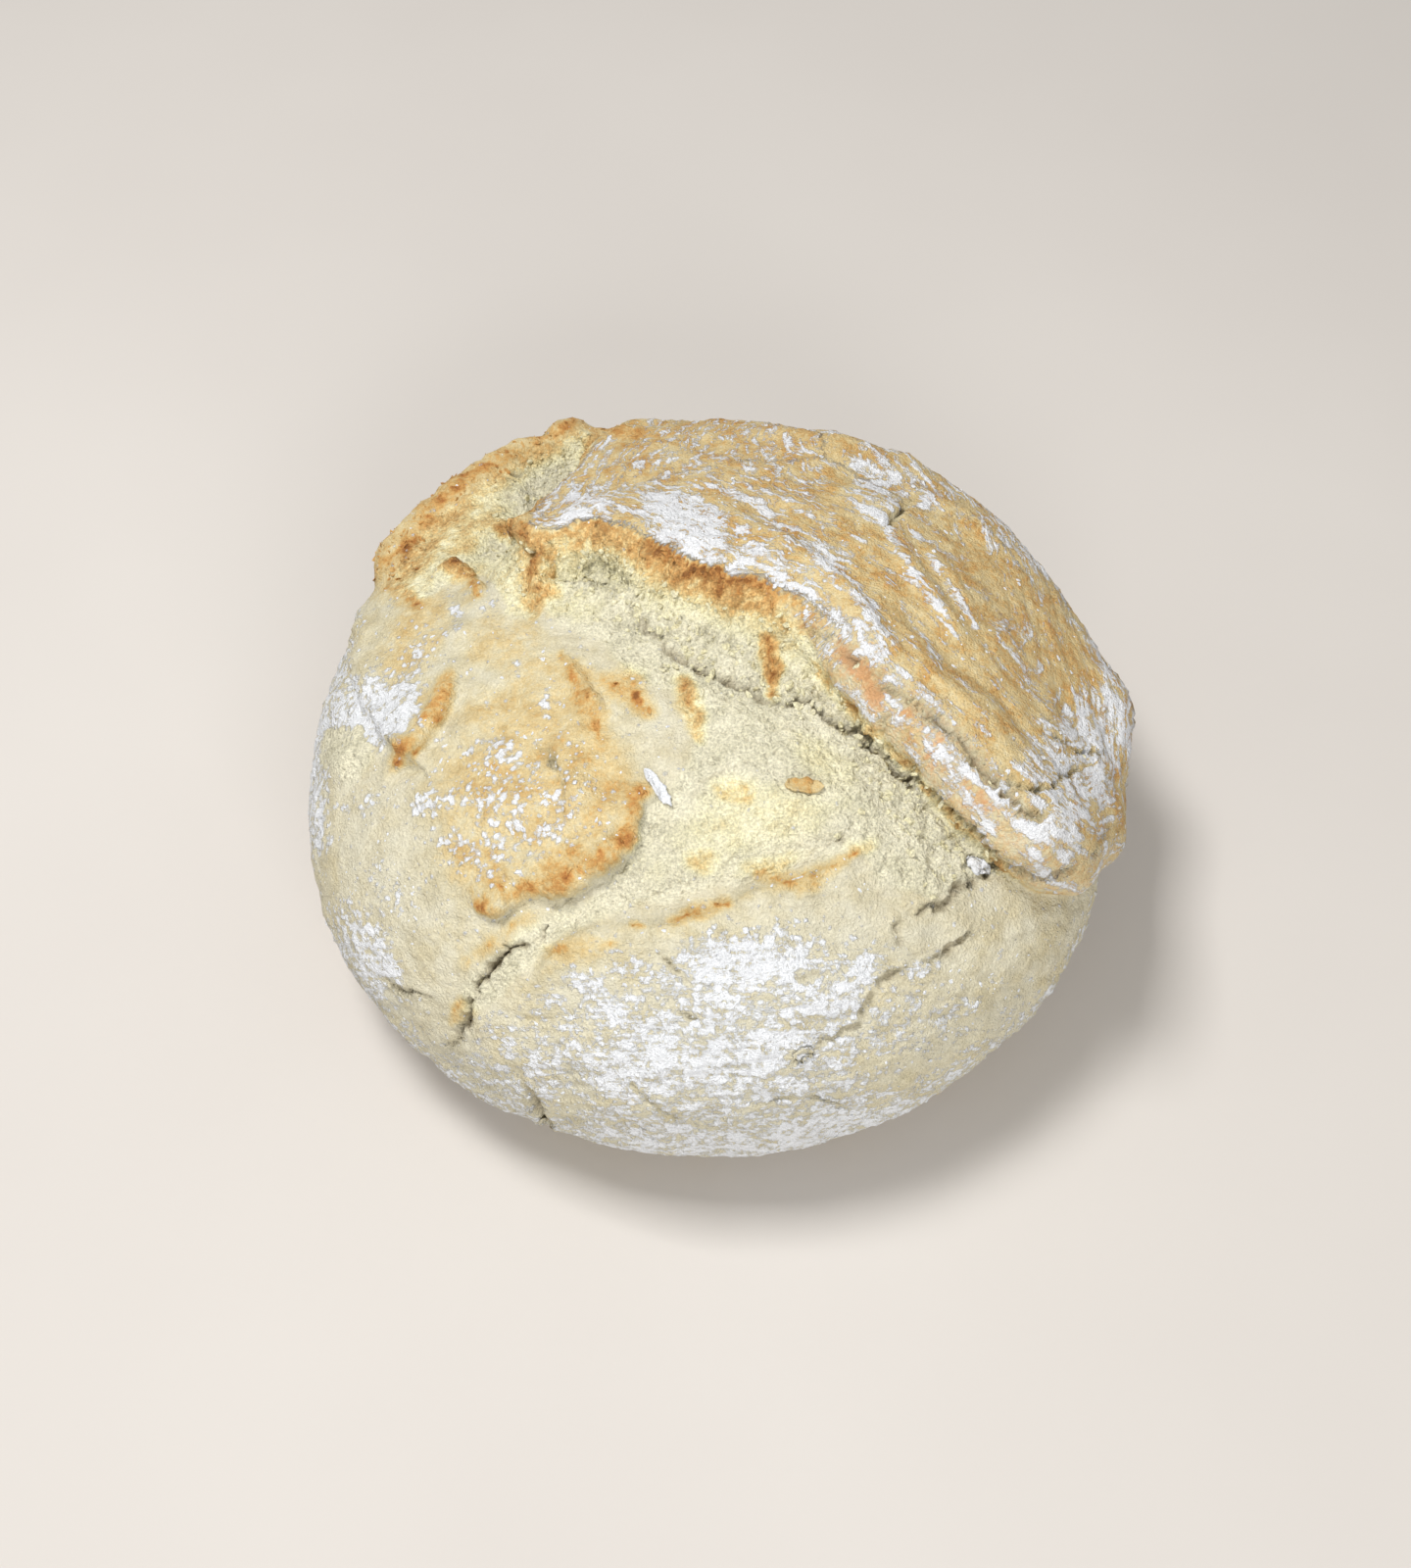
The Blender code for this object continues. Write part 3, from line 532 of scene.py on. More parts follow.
    def press(self, section, wide, browned, points, facing=FRONT):
        """Shifts the surface to a mark's cross-section along its line, and notes its crest as browned
        or, for a crack, its bottom as open."""
        table = section_table(section)
        narrow = CRACK_NARROWING if section is CRACK else 1
        reach = wide * max(-table[0][0], table[0][-1])
        index, place, value, left = self.across(self.line((facing, points)), reach)
        here = self.points[index]
        size = value[:, 0]
        place = place + teeth(here) * min(1, wide) * 0.6
        if section is CRACK:
            place = place + uneven(here, CRACK_WANDER[0]) * CRACK_WANDER[1]
            # A shallow crack nearly closes in its gaps, and a deep one stays open
            least = 0.3 + 0.7 * eased(size, 2.4, 3.2)
            size = size * np.maximum(eased(uneven(here, CRACK_GAPS), -0.55, 0.1), least)
        if section is LIP:
            place = place + uneven(here, FINE_TEETH[0]) * FINE_TEETH[1]
            size = size * (1 + LIP_SWAY[1] * uneven(here, LIP_SWAY[0]))
        shift = np.interp(place / wide / narrow, table[0], table[1]) * size
        height = np.interp(place / wide / narrow, table[0], table[2]) * size
        self.points[index] += self.normals[index] * height[:, None] + left * shift[:, None]
        full = np.clip(size / 2, 0, 1)
        if browned:
            crest = wide * table[0][table[2].argmax()]
            inwards = np.clip(place - crest, 0, None) / BROWN_FADE[0]
            outwards = np.clip(crest - place, 0, None) / BROWN_FADE[1]
            shade = browned * full * np.exp(-(inwards**1.3) - outwards**2)
            self.fields["browned"][index] = np.maximum(self.fields["browned"][index], shade)
        # A crack's open bottom is sunk, bared of flour and painted dark as the shade in it
        if section is CRACK:
            slit = np.exp(-((place / (SLIT_HALF_WIDTH * max(wide, 1))) ** 2)) * full
            self.fields["cracked"][index] = np.maximum(self.fields["cracked"][index], slit)

    def lift_flap(self, *stretches):
        """Lifts one side of a tear. The last column of its points says how far the edge rolls under."""
        torn, rolled = section_table(TORN_FLAP), section_table(ROLLED_FLAP)
        self.flap_line = self.line(*stretches)
        index, place, value, left = self.across(self.flap_line, torn[0][-1])
        size, roll = value[:, 0], np.clip(value[:, 1], 0, 1)
        place = place + teeth(self.points[index]) * (1 - 0.7 * roll)
        place += uneven(self.points[index], FINE_TEETH[0]) * FINE_TEETH[1] * (1 - roll)
        shift, height = (
            (np.interp(place, torn[0], torn[k]) * (1 - roll)
             + np.interp(place, rolled[0], rolled[k]) * roll) * size
            for k in (1, 2)
        )
        self.find_flap_side()
        self.fields["place"][index] = place
        self.fields["roll"][index] = roll
        self.points[index] += self.normals[index] * height[:, None] + left * shift[:, None]

    def find_flap_side(self):
        """Finds how far along the flap's edge each point lies, and how far behind it."""
        spots = self.flap_line[:, :3]
        steps = np.linalg.norm(np.diff(spots, axis=0), axis=1)
        run = np.concatenate([[0], np.cumsum(steps)])
        heading = unit(np.gradient(spots, axis=0))
        tree = KDTree(len(spots))
        for number, spot in enumerate(spots):
            tree.insert(spot, number)
        tree.balance()
        nearest = np.array([tree.find(p)[1] for p in self.points])
        offset = self.points - spots[nearest]
        forward = (offset * heading[nearest]).sum(1)
        aside = (offset * np.cross(self.normals, heading[nearest])).sum(1)
        self.fields["run"] = run[nearest] + forward
        self.fields["place"] = np.linalg.norm(offset, axis=1) * np.sign(aside)

    def swell(self, right, up, half_length, half_width, turn, height):
        """Raises an oval swelling, its length turned this many degrees from the way to the right. It
        reaches through the dough no farther than it is long, or than the flap is thick."""
        middle = np.array(self.laid(right, up, FRONT))
        normal = self.normals[np.argmin(((self.points - middle) ** 2).sum(1))]
        level = unit(np.array((1.0, 0, 0)) - normal[0] * normal)
        other = np.cross(normal, level)
        angle = math.radians(turn)
        along = level * math.cos(angle) + other * math.sin(angle)
        aside = np.cross(normal, along)
        from_middle = self.points - middle
        far = (from_middle @ along / half_length) ** 2 + (from_middle @ aside / half_width) ** 2
        far += (from_middle @ normal / max(half_length, FLAP_THICKNESS)) ** 2
        self.points += self.normals * (height * np.exp(-1.2 * far))[:, None]

    def roughen(self, size, height):
        """Moves the points out and in by noise of this size and height, less so near the base."""
        clear = np.clip(self.points[:, 2] / FOOT_FADE, 0, 1)
        self.points += self.normals * (height * uneven(self.points, size) * clear)[:, None]


loaf = Loaf("loaf", CAGE_CELLS)
for swelling in BROAD_SWELLS:
    loaf.swell(*swelling)
loaf.settle()
for mark in BROAD_MARKS.values():
    loaf.press(*mark)
loaf.settle()
loaf.lift_flap((BACK, FLAP_EDGE_BEHIND), (FRONT, FLAP_EDGE), (BACK, FLAP_EDGE_AROUND))
loaf.settle()
loaf.even_out(EVENING_ROUNDS)
for swelling in SWELLS:
    loaf.swell(*swelling)
loaf.settle()
for mark in (*MARKS.values(), *HAIR_CRACKS.values()):
    loaf.press(*mark)
for mark in FAR_MARKS.values():
    loaf.press(*mark, BACK)
loaf.settle()
loaf.roughen(*LUMPS)
loaf.roughen(*PIMPLES)
loaf.settle()

# Where the crust is torn off the crumb: outlines on the sheet, as right and up
TORN_AREAS = {
    "under the flap and across the middle": (
        (-44, 50), (-42, 65), (-27.5, 67), (-18, 64), (-4, 58), (8, 54), (20, 50), (34, 43), (44, 34),
        (56, 20), (68, 8), (80, -4), (92, -12), (80, -24), (72.5, -22), (66, -26), (57.5, -29),
        (45, -24), (37.5, -16), (28, -19), (18, -23), (5, -25.5), (-7.5, -29), (-25, -33), (-40, -40),
        (-45, -46), (-55, -55), (-62.5, -60), (-60, -50), (-50, -41), (-41, -34), (-30, -30),
        (-21, -21), (-16, -7), (-7, 2), (-2, 12), (-9, 24), (-20, 29), (-29, 38), (-38, 42)),
    "cleft and the inner slope of the rim": (
        (-80, 50), (-78, 58), (-71, 66), (-61, 74), (-50, 81), (-40, 87), (-32, 91), (-25.5, 90),
        (-27, 81), (-35, 72.5), (-41, 64), (-43, 52), (-43, 42), (-50, 44), (-55, 52), (-61, 53),
        (-68, 50), (-74, 46)),
    "knob at the left": ((-97, 14), (-88, 15), (-85, 6), (-90, 0), (-97, 4)),
}

# Smooth islands of skin left in the torn part, and the skin's pale folds: right, up, half length,
# half width, turn in degrees and how browned
ISLANDS = (
    (14, -9, 22, 8, 14, 0.16), (3, -10, 8, 8, 0, 0.12), (8, -2, 7, 4, -20, 0.34),
    (-1, -20, 5, 4, 0, 0.3), (17, -20, 9, 3, 15, 0.24), (-52, 50, 17, 9, 0, 0.2),
    (30, 6, 12, 5, -40, 0.12), (-60, 64, 13, 5, 42, 0.3), (38, -17, 7, 2.6, 20, 0.2),
    (56, -36, 5, 3, 55, 0.24), (-31, 45, 6, 4, 20, 0.1), (-67, 58, 6, 5, 50, 0.16),
    (-72, 52, 7, 3, 40, 0.2), (-56, 71, 8, 3, 40, 0.12),
)

# Browned patches: the same columns
BROWNED_PATCHES = (
    (-44, 0, 28, 20, 10, 0.4), (-27, 6, 15, 7, -62, 0.46), (-46, 17, 19, 8, -5, 0.37),
    (-40, 26, 12, 9, 0, 0.34), (-74, 38, 15, 8, 62, 0.34), (-52, 36, 12, 8, 0, 0.3),
    (-52, 4, 6, 3, -20, 0.52), (-28, -9, 9, 5, 60, 0.5), (-36, -20, 12, 5, 12, 0.52),
    (-56, -20, 14, 8, -20, 0.42), (-71, 20, 10, 5, 60, 0.25), (-36, -12, 12, 14, 0, 0.4),
    (10, 1, 7, 2.6, -22, 0.34), (25.5, 0, 5, 1.4, -8, 0.5), (-18, -36.5, 2.4, 1.4, 0, 0.7),
    (-12, -22, 6, 3, 40, 0.2), (2, -21, 7, 3, 10, 0.26), (88, -50, 8, 5, 60, 0.12),
    (-20, 90, 7, 3, -8, 0.62), (0, 74, 7, 2.4, -30, 0.5), (-62, -58, 4, 3, 60, 0.5),
    (-44, 44, 2, 3, 0, 0.5), (-1, 18, 3, 3, 0, 0.3), (44, -54, 6, 3, 20, 0.2),
)

# Browned lines: how browned, and points as right, up and half width
BROWNED_LINES = {
    "crest of the rim": (0.72, (
        (-83, 53, 3), (-80, 58, 5), (-72.5, 67, 5.4), (-64, 76, 4.6), (-52.5, 83, 3.4), (-40, 89, 3),
        (-33, 93, 2.4))),
    "curl": (0.72, ((-43, 60, 2), (-44.5, 54, 2.6), (-43.5, 47, 1.6))),
    "flame in the middle, left": (0.84, (
        (-37, 33, 0.8), (-32.5, 26, 2.2), (-29, 18, 2.2), (-27, 10, 1))),
    "folded corner": (0.74, ((-65, 27, 0.6), (-67, 20, 1.1), (-70, 14, 1.1), (-75, 7, 0.6))),
    "low spikes": (0.7, ((-82, 51, 1.2), (-78, 49, 1.6), (-73, 45, 1.2))),
    "drip": (0.95, ((15.5, 37, 1.1), (17.5, 30, 1.4), (17, 24, 0.9))),
    "flame in the middle": (0.84, ((-25, 25.5, 1.8), (-20, 24.5, 2.6), (-15, 19, 1.4))),
    "flame in the middle, right": (0.66, ((-6, 26, 1.2), (-4, 21, 1.8), (-1, 13, 1))),
    "front edge, right": (0.7, ((14, -23.5, 1), (24, -25.5, 1.6), (32, -21, 1.2), (38, -17, 0.8))),
    "front edge, middle": (0.72, ((-8, -35.5, 1), (-2, -33, 1.6), (6, -31, 0.8))),
    "front edge, left": (0.5, ((-40, -43, 1.2), (-33, -42, 2), (-24, -40.5, 1.2))),
    "side of the crack": (0.42, ((-60, -45, 1.4), (-54, -40, 1.6), (-44, -34, 1.2))),
}

# Flour: patches as right, up, half length, half width, turn in degrees and how thick
FLOUR_PATCHES = (
    (-3, 64, 16, 8, -48, 1), (-16, 67, 30, 11, -18, 0.52), (-34, 68, 12, 9, 0, 0.42),
    (0, 84, 38, 9, -8, 0.3), (22, 74, 20, 6, -40, 0.3), (36, 88, 40, 8, -14, 0.34),
    (44, 71, 8, 5.5, -50, 0.8), (50, 76, 14, 5, -30, 0.5), (95, -1, 20, 12, 62, 0.72),
    (88, 8, 18, 8, 60, 0.5), (100, 18, 8, 9, 0, 0.6), (-73, 33, 14, 4.5, 62, 0.46),
    (-80, 18, 12, 7, 42, 1), (-88, 21, 9, 7, 60, 0.9), (-91, 13, 7, 6, 40, 0.8),
    (-63, 42, 5, 1.7, 80, 0.7), (-49, -8, 22, 14, 10, 0.52), (-54, 8, 9, 5, 0, 0.56),
    (-71, -5, 8, 3.2, 10, 0.62), (-88, -5, 7, 3, 10, 0.62), (-41, 20, 2.4, 4, 0, 0.66),
    (-47, 31, 1.4, 4, 0, 0.5), (-52, 9, 7, 3, -10, 0.5), (-60, -18, 14, 5, -15, 0.28),
    (17, -57, 34, 23, 4, 0.62), (8, -46, 20, 8, 4, 0.74), (-22, -65, 24, 15, -12, 0.62),
    (-30, -52, 9, 4, -50, 0.72), (-86, -42, 14, 7, -62, 0.8), (-80, -28, 12, 6, -60, 0.4),
    (57, -60, 17, 9, 20, 0.42), (40, -48, 8, 5, 50, 0.66), (56, -46, 6, 4, 50, 0.55),
    (0, -74, 40, 10, 0, 0.6), (20, -90, 60, 10, 0, 0.5), (-50, -70, 14, 10, -40, 0.45),
    (-56, 46, 6, 5, 0, 0.3), (80, 36, 12, 6, -60, 0.3), (76, 62, 14, 4, -50, 0.5),
    (20, 20, 18, 3, -40, 0.18), (-20, -46, 10, 3, -20, 0.5),
)

# Flour in bands: how thick, and points as right, up and half width
FLOUR_BANDS = {
    "along the flap's torn edge": (0.95, (
        (-22, 61, 1), (-14, 58, 2.6), (-2, 52, 3.4), (8, 48, 3), (20, 44.5, 1.6), (28, 41, 1))),
    "on the crease": (0.8, (
        (2, 77, 1), (14, 70.5, 2), (24, 63, 2.4), (34, 54.5, 2.8), (42, 45, 2.6), (48, 35, 1.6))),
    "between crease and edge": (0.62, (
        (4, 62, 5), (18, 55, 5), (30, 47, 4), (40, 38, 2.4), (46, 33, 1.2))),
    "first streak": (0.85, ((46, 66, 1.6), (51, 57, 1.4), (57, 49, 1.6), (64, 37, 0.9))),
    "second streak": (0.75, ((53, 64, 0.9), (60, 54, 1), (69, 40, 0.8))),
    "third streak": (0.5, ((40, 62, 1), (47, 52, 1.2), (54, 40, 1), (60, 30, 0.8))),
    "outer edge": (0.85, (
        (60, 82, 2), (72, 72, 2.6), (84, 60, 2.8), (95, 47, 3.6), (104, 34, 5), (109, 20, 6),
        (108, 8, 6))),
    "on the rolled edge": (0.55, (
        (34, 37, 1.4), (43, 29, 2.6), (54, 17, 3), (64, 7, 3), (75, -4, 4), (85, -12, 4))),
    "left side": (0.9, (
        (-90, 46, 2), (-94, 36, 4), (-97, 24, 6), (-99, 12, 5), (-100, 0, 4), (-99, -14, 4))),
    "long streaks in front": (0.85, ((16, -46, 0.7), (24, -45, 1), (34, -46, 0.6))),
    "long streaks in front, low": (0.9, ((20, -58, 1), (30, -56.5, 1.4), (40, -57, 1))),
    "long streaks in front, lowest": (0.8, ((10, -66, 1.4), (22, -64, 2), (32, -65, 1.4))),
}


class Sheet:
    """The sheet over the loaf, to draw soft-edged areas on. Its noise makes their outlines uneven."""

    def __init__(self, points, normals):
        middle = np.array(SHEET_MIDDLE)
        sight = -np.array(towards_camera)
        sheet_up = np.array((0, math.sin(SIGHT_RISE), math.cos(SIGHT_RISE)))
        from_eye = points - (middle - sight * SIGHT_DISTANCE)
        depth = from_eye @ sight / SIGHT_DISTANCE
        self.right = from_eye[:, 0] / depth
        self.up = from_eye @ sheet_up / depth
        self.seen = eased(-(normals * unit(from_eye)).sum(1), -0.3, 0.0)
        self.places = np.stack([self.right, self.up], axis=1)
        size, sway = OUTLINE_WANDER
        for column, elsewhere in enumerate(((0, 0, 0), (31, 17, 5))):
            self.places[:, column] += uneven(points + np.array(elsewhere), size) * sway

    def patch(self, right, up, half_length, half_width, turn):
        """An oval that is full inside and fades out at its edge."""
        angle = math.radians(turn)
        along = np.array((math.cos(angle), math.sin(angle)))
        aside = np.array((-along[1], along[0]))
        offset = self.places - (right, up)
        return eased(np.hypot(offset @ along / half_length, offset @ aside / half_width), 1.4, 0.4)

    def beside(self, a, b):
        """How far along the way from a to b each place lies, from 0 to 1, and how far off it."""
        way = b - a
        f = np.clip((self.places - a) @ way / (way @ way), 0, 1)
        return f, np.linalg.norm(self.places - a - f[:, None] * way, axis=1)

    def band(self, points, wider=1.0):
        """A band along a line, whose half width is the points' last column."""
        cover = np.zeros(len(self.places))
        rows = np.asarray(points, float)
        for a, b in zip(rows, rows[1:]):
            f, distance = self.beside(a[:2], b[:2])
            half_width = a[2] + (b[2] - a[2]) * f
            cover = np.maximum(cover, eased(distance / half_width / wider, 1.5, 0.2))
        return cover

    def area(self, outline, softness):
        """The inside of an outline."""
        corners = np.asarray(outline, float)
        inside = np.zeros(len(self.places), bool)
        distance = np.full(len(self.places), 1e9)
        x, y = self.places.T
        for a, b in zip(corners, np.roll(corners, -1, axis=0)):
            distance = np.minimum(distance, self.beside(a, b)[1])
            crossed = (a[1] > y) != (b[1] > y)
            inside ^= crossed & (x < a[0] + (y - a[1]) * (b[0] - a[0]) / (b[1] - a[1] or 1e-9))
        return eased(np.where(inside, distance, -distance), -softness, softness)


def laid_over(lower, upper):
    """One cover over another, neither of them over 1."""
    return 1 - (1 - lower) * (1 - np.clip(upper, 0, 1))


def strip(begins, full_from, full_to, ends):
    """A soft-edged strip along the flap's edge, by distance across it, which is positive on the flap."""
    return eased(place, begins, full_from) * eased(place, ends, full_to)


# Along the flap's edge, in millimetres: where its ear begins, where it darkens, and where the blush of
# the rolled edge ends. Then how far past its own line the rolled edge still is flap.
EAR_BEGINS = (30, 60)
EAR_DARKENS = (147, 163)
BLUSH_ENDS = (262, 244)
ROLL_REACH = 4.4

# How browned and how floured the crust is where no mark says so: on the hidden side, in front, and
# how much more on the flap or near the foot, which lies between these heights
HIDDEN_BAKE = 0.3
FRONT_BAKE = 0.08
FLAP_BAKE = 0.38
HIDDEN_FLOUR = 0.42
FRONT_FLOUR = 0.18
FOOT_FLOUR = 0.46
FOOT_HEIGHTS = (58, 30)

sheet = Sheet(loaf.points, loaf.normals)
height = loaf.points[:, 2]
cracked, place, run, roll = (loaf.fields[name] for name in ("cracked", "place", "run", "roll"))
on_flap = eased(place + ROLL_REACH * roll, -0.6, 0.6)
on_roll = roll * on_flap * eased(place, 4, 1)
ear = (1 - roll) * eased(run, *EAR_BEGINS) * sheet.seen
torn = np.zeros(len(loaf.points))
for outline in TORN_AREAS.values():
    torn = np.maximum(torn, sheet.area(outline, 1.2))
torn *= sheet.seen * (1 - on_flap)
torn = np.maximum(torn, cracked * 0.8)

broad = uneven(loaf.points, 28)
blotches = uneven(loaf.points, 9)
crags = uneven(loaf.points, 1.7)
hidden_bake = HIDDEN_BAKE + 0.16 * broad
shown_bake = FRONT_BAKE + (FLAP_BAKE - 0.2 * on_roll) * on_flap + 0.05 * broad + 0.05 * blotches
for *spot, strength in BROWNED_PATCHES:
    shown_bake = np.maximum(shown_bake, strength * sheet.patch(*spot))
shown_bake *= 1 - 0.75 * torn
for *spot, strength in ISLANDS:
    shown_bake = np.maximum(shown_bake, strength * sheet.patch(*spot) * torn)
patchy = 0.85 + 0.6 * uneven(loaf.points, 4)
for strength, points in BROWNED_LINES.values():
    shown_bake = np.maximum(shown_bake, strength * patchy * sheet.band(points, 0.7))
    shown_bake = np.maximum(shown_bake, 0.6 * strength * sheet.band(points, 2.2))

# The flap's torn edge browned just under its crest, and the rolled edge blushed along its face
ear *= 0.6 + 0.4 * eased(run, *EAR_DARKENS)
under_crest = strip(0.1, -0.4, -1.6, -4.6)
fading_down = strip(0.1, -0.6, -2.5, -10)
crest_line = strip(0.3, -0.1, -0.7, -1.4)
below = 0.84 * patchy * under_crest + 0.32 * fading_down * (1 - under_crest)
shown_bake = np.maximum(shown_bake, np.maximum(below, crest_line) * ear)
blush = roll * strip(0.3, -0.9, -2.0, -3.2) * eased(run, *BLUSH_ENDS) * sheet.seen
along_roll = uneven(np.stack([run, 4 * place, height * 0], axis=1), 8)
blush *= eased(along_roll + 0.5 * crags, -0.3, 0.5)
blush = np.maximum(blush, 0.34 * on_roll * sheet.seen)
gold_under_roll = roll * strip(-3.4, -4.6, -6.0, -9.5) * sheet.seen
shown_bake = np.maximum(shown_bake, 0.44 * patchy * gold_under_roll)

baked = hidden_bake + (shown_bake - hidden_bake) * sheet.seen
baked = np.maximum(baked, loaf.fields["browned"] * patchy)
baked = baked + 0.08 * crags * eased(baked, 0.3, 0.6)
baked = np.clip(baked * (1 - 0.6 * cracked), 0, 1)

near_foot = eased(height, *FOOT_HEIGHTS)
hidden_flour = HIDDEN_FLOUR + 0.3 * broad + 0.22 * near_foot
shown_flour = FRONT_FLOUR + 0.1 * on_flap + 0.1 * broad + 0.08 * blotches
shown_flour = shown_flour + FOOT_FLOUR * near_foot + 0.2 * on_roll
for *spot, thickness in FLOUR_PATCHES:
    shown_flour = laid_over(shown_flour, thickness * sheet.patch(*spot) * (1 - 0.8 * torn))
for thickness, points in FLOUR_BANDS.values():
    shown_flour = laid_over(shown_flour, thickness * sheet.band(points) * (1 - 0.8 * torn))
shown_flour *= (1 - 0.85 * eased(baked, 0.42, 0.66)) * (1 - 0.75 * eased(blush, 0.35, 1))
floured = np.clip(hidden_flour + (shown_flour - hidden_flour) * sheet.seen, 0, 1)
floured *= (1 - cracked) * (1 - 0.75 * torn)

# Where the flour was smeared into streaks: on the flap, and low in front
smeared = np.maximum(on_flap, 0.45 * eased(sheet.up, -32, -46)) * sheet.seen

# How dough stretches and flour smears: along the flap's edge on the flap, and level elsewhere
on_flap_run = np.stack([run, place, height * 0], axis=1)
level_run = np.stack([sheet.right, sheet.up, height * 0], axis=1)
along_edge = np.maximum(eased(place, -1, 1), roll * eased(place, -7, -5.5)) * sheet.seen
strand = level_run + (on_flap_run - level_run) * along_edge[:, None]

# The fine relief: pits and strands in the crumb, wrinkles in the skin, crags on browned edges
smooth = sum(sheet.patch(*spot) for *spot, _ in ISLANDS)
open_crumb = torn * (1 - 0.7 * np.clip(smooth, 0, 1))
clear_of_base = np.clip(height / FOOT_FADE, 0, 1)
stretched = folds(np.stack([run, place, height * 0.4], axis=1), (2.3, 6, 6)) - 0.6
coarse = 0.5 + 0.7 * eased(place, -34, -6)  # coarser towards the flap's foot
relief = open_crumb * coarse * (
    0.6 * uneven(loaf.points, 2.0) + 0.8 * uneven(loaf.points, 5.0) + 0.7 * stretched
    - 0.9 * bubbles(loaf.points, 3.6) - 0.6 * bubbles(loaf.points + 9.0, 2.0)
)
skin = (1 - torn) * (0.5 + 0.5 * folds(loaf.points, 16))
flap_seen = on_flap * sheet.seen
relief += skin * flap_seen * 0.65 * (folds(strand, (17, 2.6, 1)) - 0.6)
relief += skin * (1 - flap_seen) * 0.55 * (folds(strand, (11, 2.8, 1)) - 0.6)
by_rim = sheet.band(BROWNED_LINES["crest of the rim"][1])
relief += (0.16 + 0.34 * eased(baked, 0.4, 0.7) + 0.4 * by_rim) * crags
relief += 0.45 * floured * uneven(loaf.points, 1.4)
relief -= 0.5 * cracked
loaf.points += loaf.normals * (relief * clear_of_base)[:, None]
loaf.points = flat_base(loaf.points)
loaf.settle()

for name, values in (
        ("torn", torn), ("baked", baked), ("floured", floured), ("cracked", cracked), ("blushed", blush),
        ("smeared", smeared)):
    layer = loaf.mesh.attributes.new(name, "FLOAT", "POINT")
    layer.data.foreach_set("value", values.astype(np.float32))
layer = loaf.mesh.attributes.new("strand", "FLOAT_VECTOR", "POINT")
layer.data.foreach_set("vector", strand.astype(np.float32).ravel())
loaf.object.location = CENTRING * MM
loaf.mesh.shade_smooth()


def tint(red, green, blue):
    """A colour as it is seen, from 0 to 255, in the renderer's linear terms."""
    return tuple(((c / 255 + 0.055) / 1.055) ** 2.4 for c in (red, green, blue)) + (1.0,)


def node(tree, kind, sockets=None, **settings):
    """A shader node with its settings, and its sockets joined to others or set to values."""
    made = tree.nodes.new("ShaderNode" + kind)
    for name, value in settings.items():
        setattr(made, name, value)
    for socket, value in (sockets or {}).items():
        if isinstance(value, bpy.types.NodeSocket):
            tree.links.new(value, made.inputs[socket])
        else:
            made.inputs[socket].default_value = value
    return made


def sum_of(tree, first, *others):
    """Adds sockets and values."""
    for other in others:
        first = node(tree, "Math", {0: first, 1: other}, operation="ADD").outputs[0]
    return first


def times(tree, first, second):
    return node(tree, "Math", {0: first, 1: second}, operation="MULTIPLY").outputs[0]


def swing(tree, value, size):
    """A noise value moved from about 0.5 to about 0, and scaled."""
    return node(tree, "Math", {0: value, 1: size, 2: -0.5 * size}, operation="MULTIPLY_ADD").outputs[0]


def soft_step(tree, value, low, high, start=0.0, end=1.0):
    made = node(tree, "MapRange", {0: value, 1: low, 2: high, 3: start, 4: end},
                interpolation_type="SMOOTHSTEP")
    return made.outputs[0]


def blend(tree, amount, under, over, mode="MIX"):
    """Two colours mixed. The node's sockets for colours are numbers 6 and 7, as their names repeat."""
    made = node(tree, "Mix", {0: amount, 6: under, 7: over}, data_type="RGBA", blend_type=mode)
    return made.outputs[2]


def noise_of(tree, place, size, detail, roughness):
    """Noise with lumps of about this size in millimetres."""
    sockets = {"Vector": place, "Scale": 1 / size, "Detail": detail, "Roughness": roughness}
    return node(tree, "TexNoise", sockets).outputs[0]


def grains(tree, place, size, detail=3.0, roughness=0.6):
    """Such noise spread from 0 to 1, where it mostly keeps near its middle."""
    return soft_step(tree, noise_of(tree, place, size, detail, roughness), 0.28, 0.72)


def from_cells(tree, place, size):
    """How far it is to the middle of the nearest of many cells of about this size."""
    return node(tree, "TexVoronoi", {"Vector": place, "Scale": 1 / size}).outputs["Distance"]


def colour_steps(tree, value, steps):
    """A ramp through these colours."""
    made = node(tree, "ValToRGB", {0: value})
    ramp = made.color_ramp
    for number, (place, colour) in enumerate(steps):
        stop = ramp.elements[number] if number < 2 else ramp.elements.new(place)
        stop.position = place
        stop.color = tint(*colour)
    return made.outputs[0]


# The node groups' sockets that aren't plain numbers
SOCKET_KINDS = {"Place": "Vector", "Strand": "Vector", "Color": "Color"}


def node_group(name, inputs, outputs):
    """An empty node group: its tree, what it is given, and what it has to result in."""
    made = bpy.data.node_groups.new(name, "ShaderNodeTree")
    for direction, sockets in (("INPUT", inputs), ("OUTPUT", outputs)):
        for socket in sockets.split():
            kind = "NodeSocket" + SOCKET_KINDS.get(socket, "Float")
            made.interface.new_socket(socket, in_out=direction, socket_type=kind)
    return made, made.nodes.new("NodeGroupInput").outputs, made.nodes.new("NodeGroupOutput").inputs


